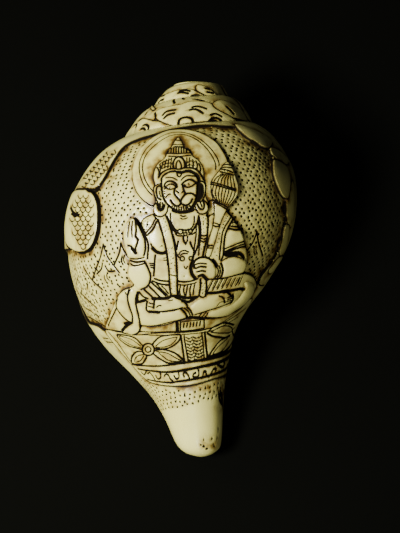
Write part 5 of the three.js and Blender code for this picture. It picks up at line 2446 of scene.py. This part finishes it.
def build_camera(photo: Photo, rest: Rest) -> None:
    """Stand the camera where the photograph was taken from."""
    data = bpy.data.cameras.new("camera")
    data.sensor_fit = "VERTICAL"
    data.sensor_height = 24.0
    data.lens = data.sensor_height * photo.focal / PHOTO_HEIGHT
    camera = bpy.data.objects.new("camera", data)
    bpy.context.scene.collection.objects.link(camera)
    placed = rest.matrix() @ Matrix.Translation(photo.eye)
    placed.translation *= MM
    camera.matrix_world = placed
    bpy.context.scene.camera = camera


@dataclass(frozen=True)
class Studio:
    """The black cloth that the shell lies on, and the lights."""

    cloth: str = "#080807"
    sky: str = "#b9c2cc"
    sky_strength: float = 0.07
    centre: tuple[float, float, float] = (0.0, 0.0, 0.04)
    floor_reach: float = 1.5
    # name, place, size, watts and colour of each light
    lights: tuple[tuple[str, tuple[float, float, float], float, float, str], ...] = (
        ("key", (-0.24, -0.17, 0.49), 0.17, 7.8, "#fbffee"),
        ("top", (-0.36, 0.20, 0.38), 0.20, 0.7, "#fbffea"),
        ("low", (0.07, -0.52, 0.30), 0.14, 0.9, "#fbffea"),
    )

    def build(self) -> None:
        """Put up the cloth and the lights."""
        reach = self.floor_reach
        mesh = bpy.data.meshes.new("cloth")
        corners = [(-reach, -reach, 0), (reach, -reach, 0), (reach, reach, 0), (-reach, reach, 0)]
        mesh.from_pydata(corners, [], [(0, 1, 2, 3)])
        finish = bpy.data.materials.new("cloth")
        finish.use_nodes = True
        shader = finish.node_tree.nodes["Principled BSDF"]
        shader.inputs["Base Color"].default_value = linear(self.cloth)
        shader.inputs["Roughness"].default_value = 1.0
        shader.inputs["Specular IOR Level"].default_value = 0.0
        mesh.materials.append(finish)
        put(mesh)
        world = bpy.data.worlds.new("world")
        world.use_nodes = True
        sky = world.node_tree.nodes["Background"]
        sky.inputs["Color"].default_value = linear(self.sky)
        sky.inputs["Strength"].default_value = self.sky_strength
        bpy.context.scene.world = world
        for name, at, size, watts, colour in self.lights:
            self.light(name, Vector(at), size, watts, colour)

    def light(self, name: str, at: Vector, size: float, watts: float, colour: str) -> None:
        """Hang an area light that faces the shell.

        Args:
            name: Its name.
            at: Where it hangs.
            size: Its side, in metres.
            watts: Its power.
            colour: Its colour, as a hex code.
        """
        data = bpy.data.lights.new(name, "AREA")
        data.size = size
        data.energy = watts
        data.color = linear(colour)[:3]
        made = bpy.data.objects.new(name, data)
        bpy.context.scene.collection.objects.link(made)
        made.location = at
        made.rotation_euler = (Vector(self.centre) - at).to_track_quat("-Z", "Y").to_euler()


def main() -> None:
    """Build the scene."""
    logging.basicConfig(level=logging.INFO, format="%(name)s: %(message)s")
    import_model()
    growth, photo, rest = Growth(), Photo(), Rest()
    chart = Chart(growth)
    carving = Carving(chart, Seer(chart, photo))
    carve(carving)
    shell = Conch(growth, chart, carving, Ivory().material(), rest).build()
    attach(shell, "root")
    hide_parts("conch_shell")
    build_camera(photo, rest)
    Studio().build()


if __name__ == "__main__":
    main()
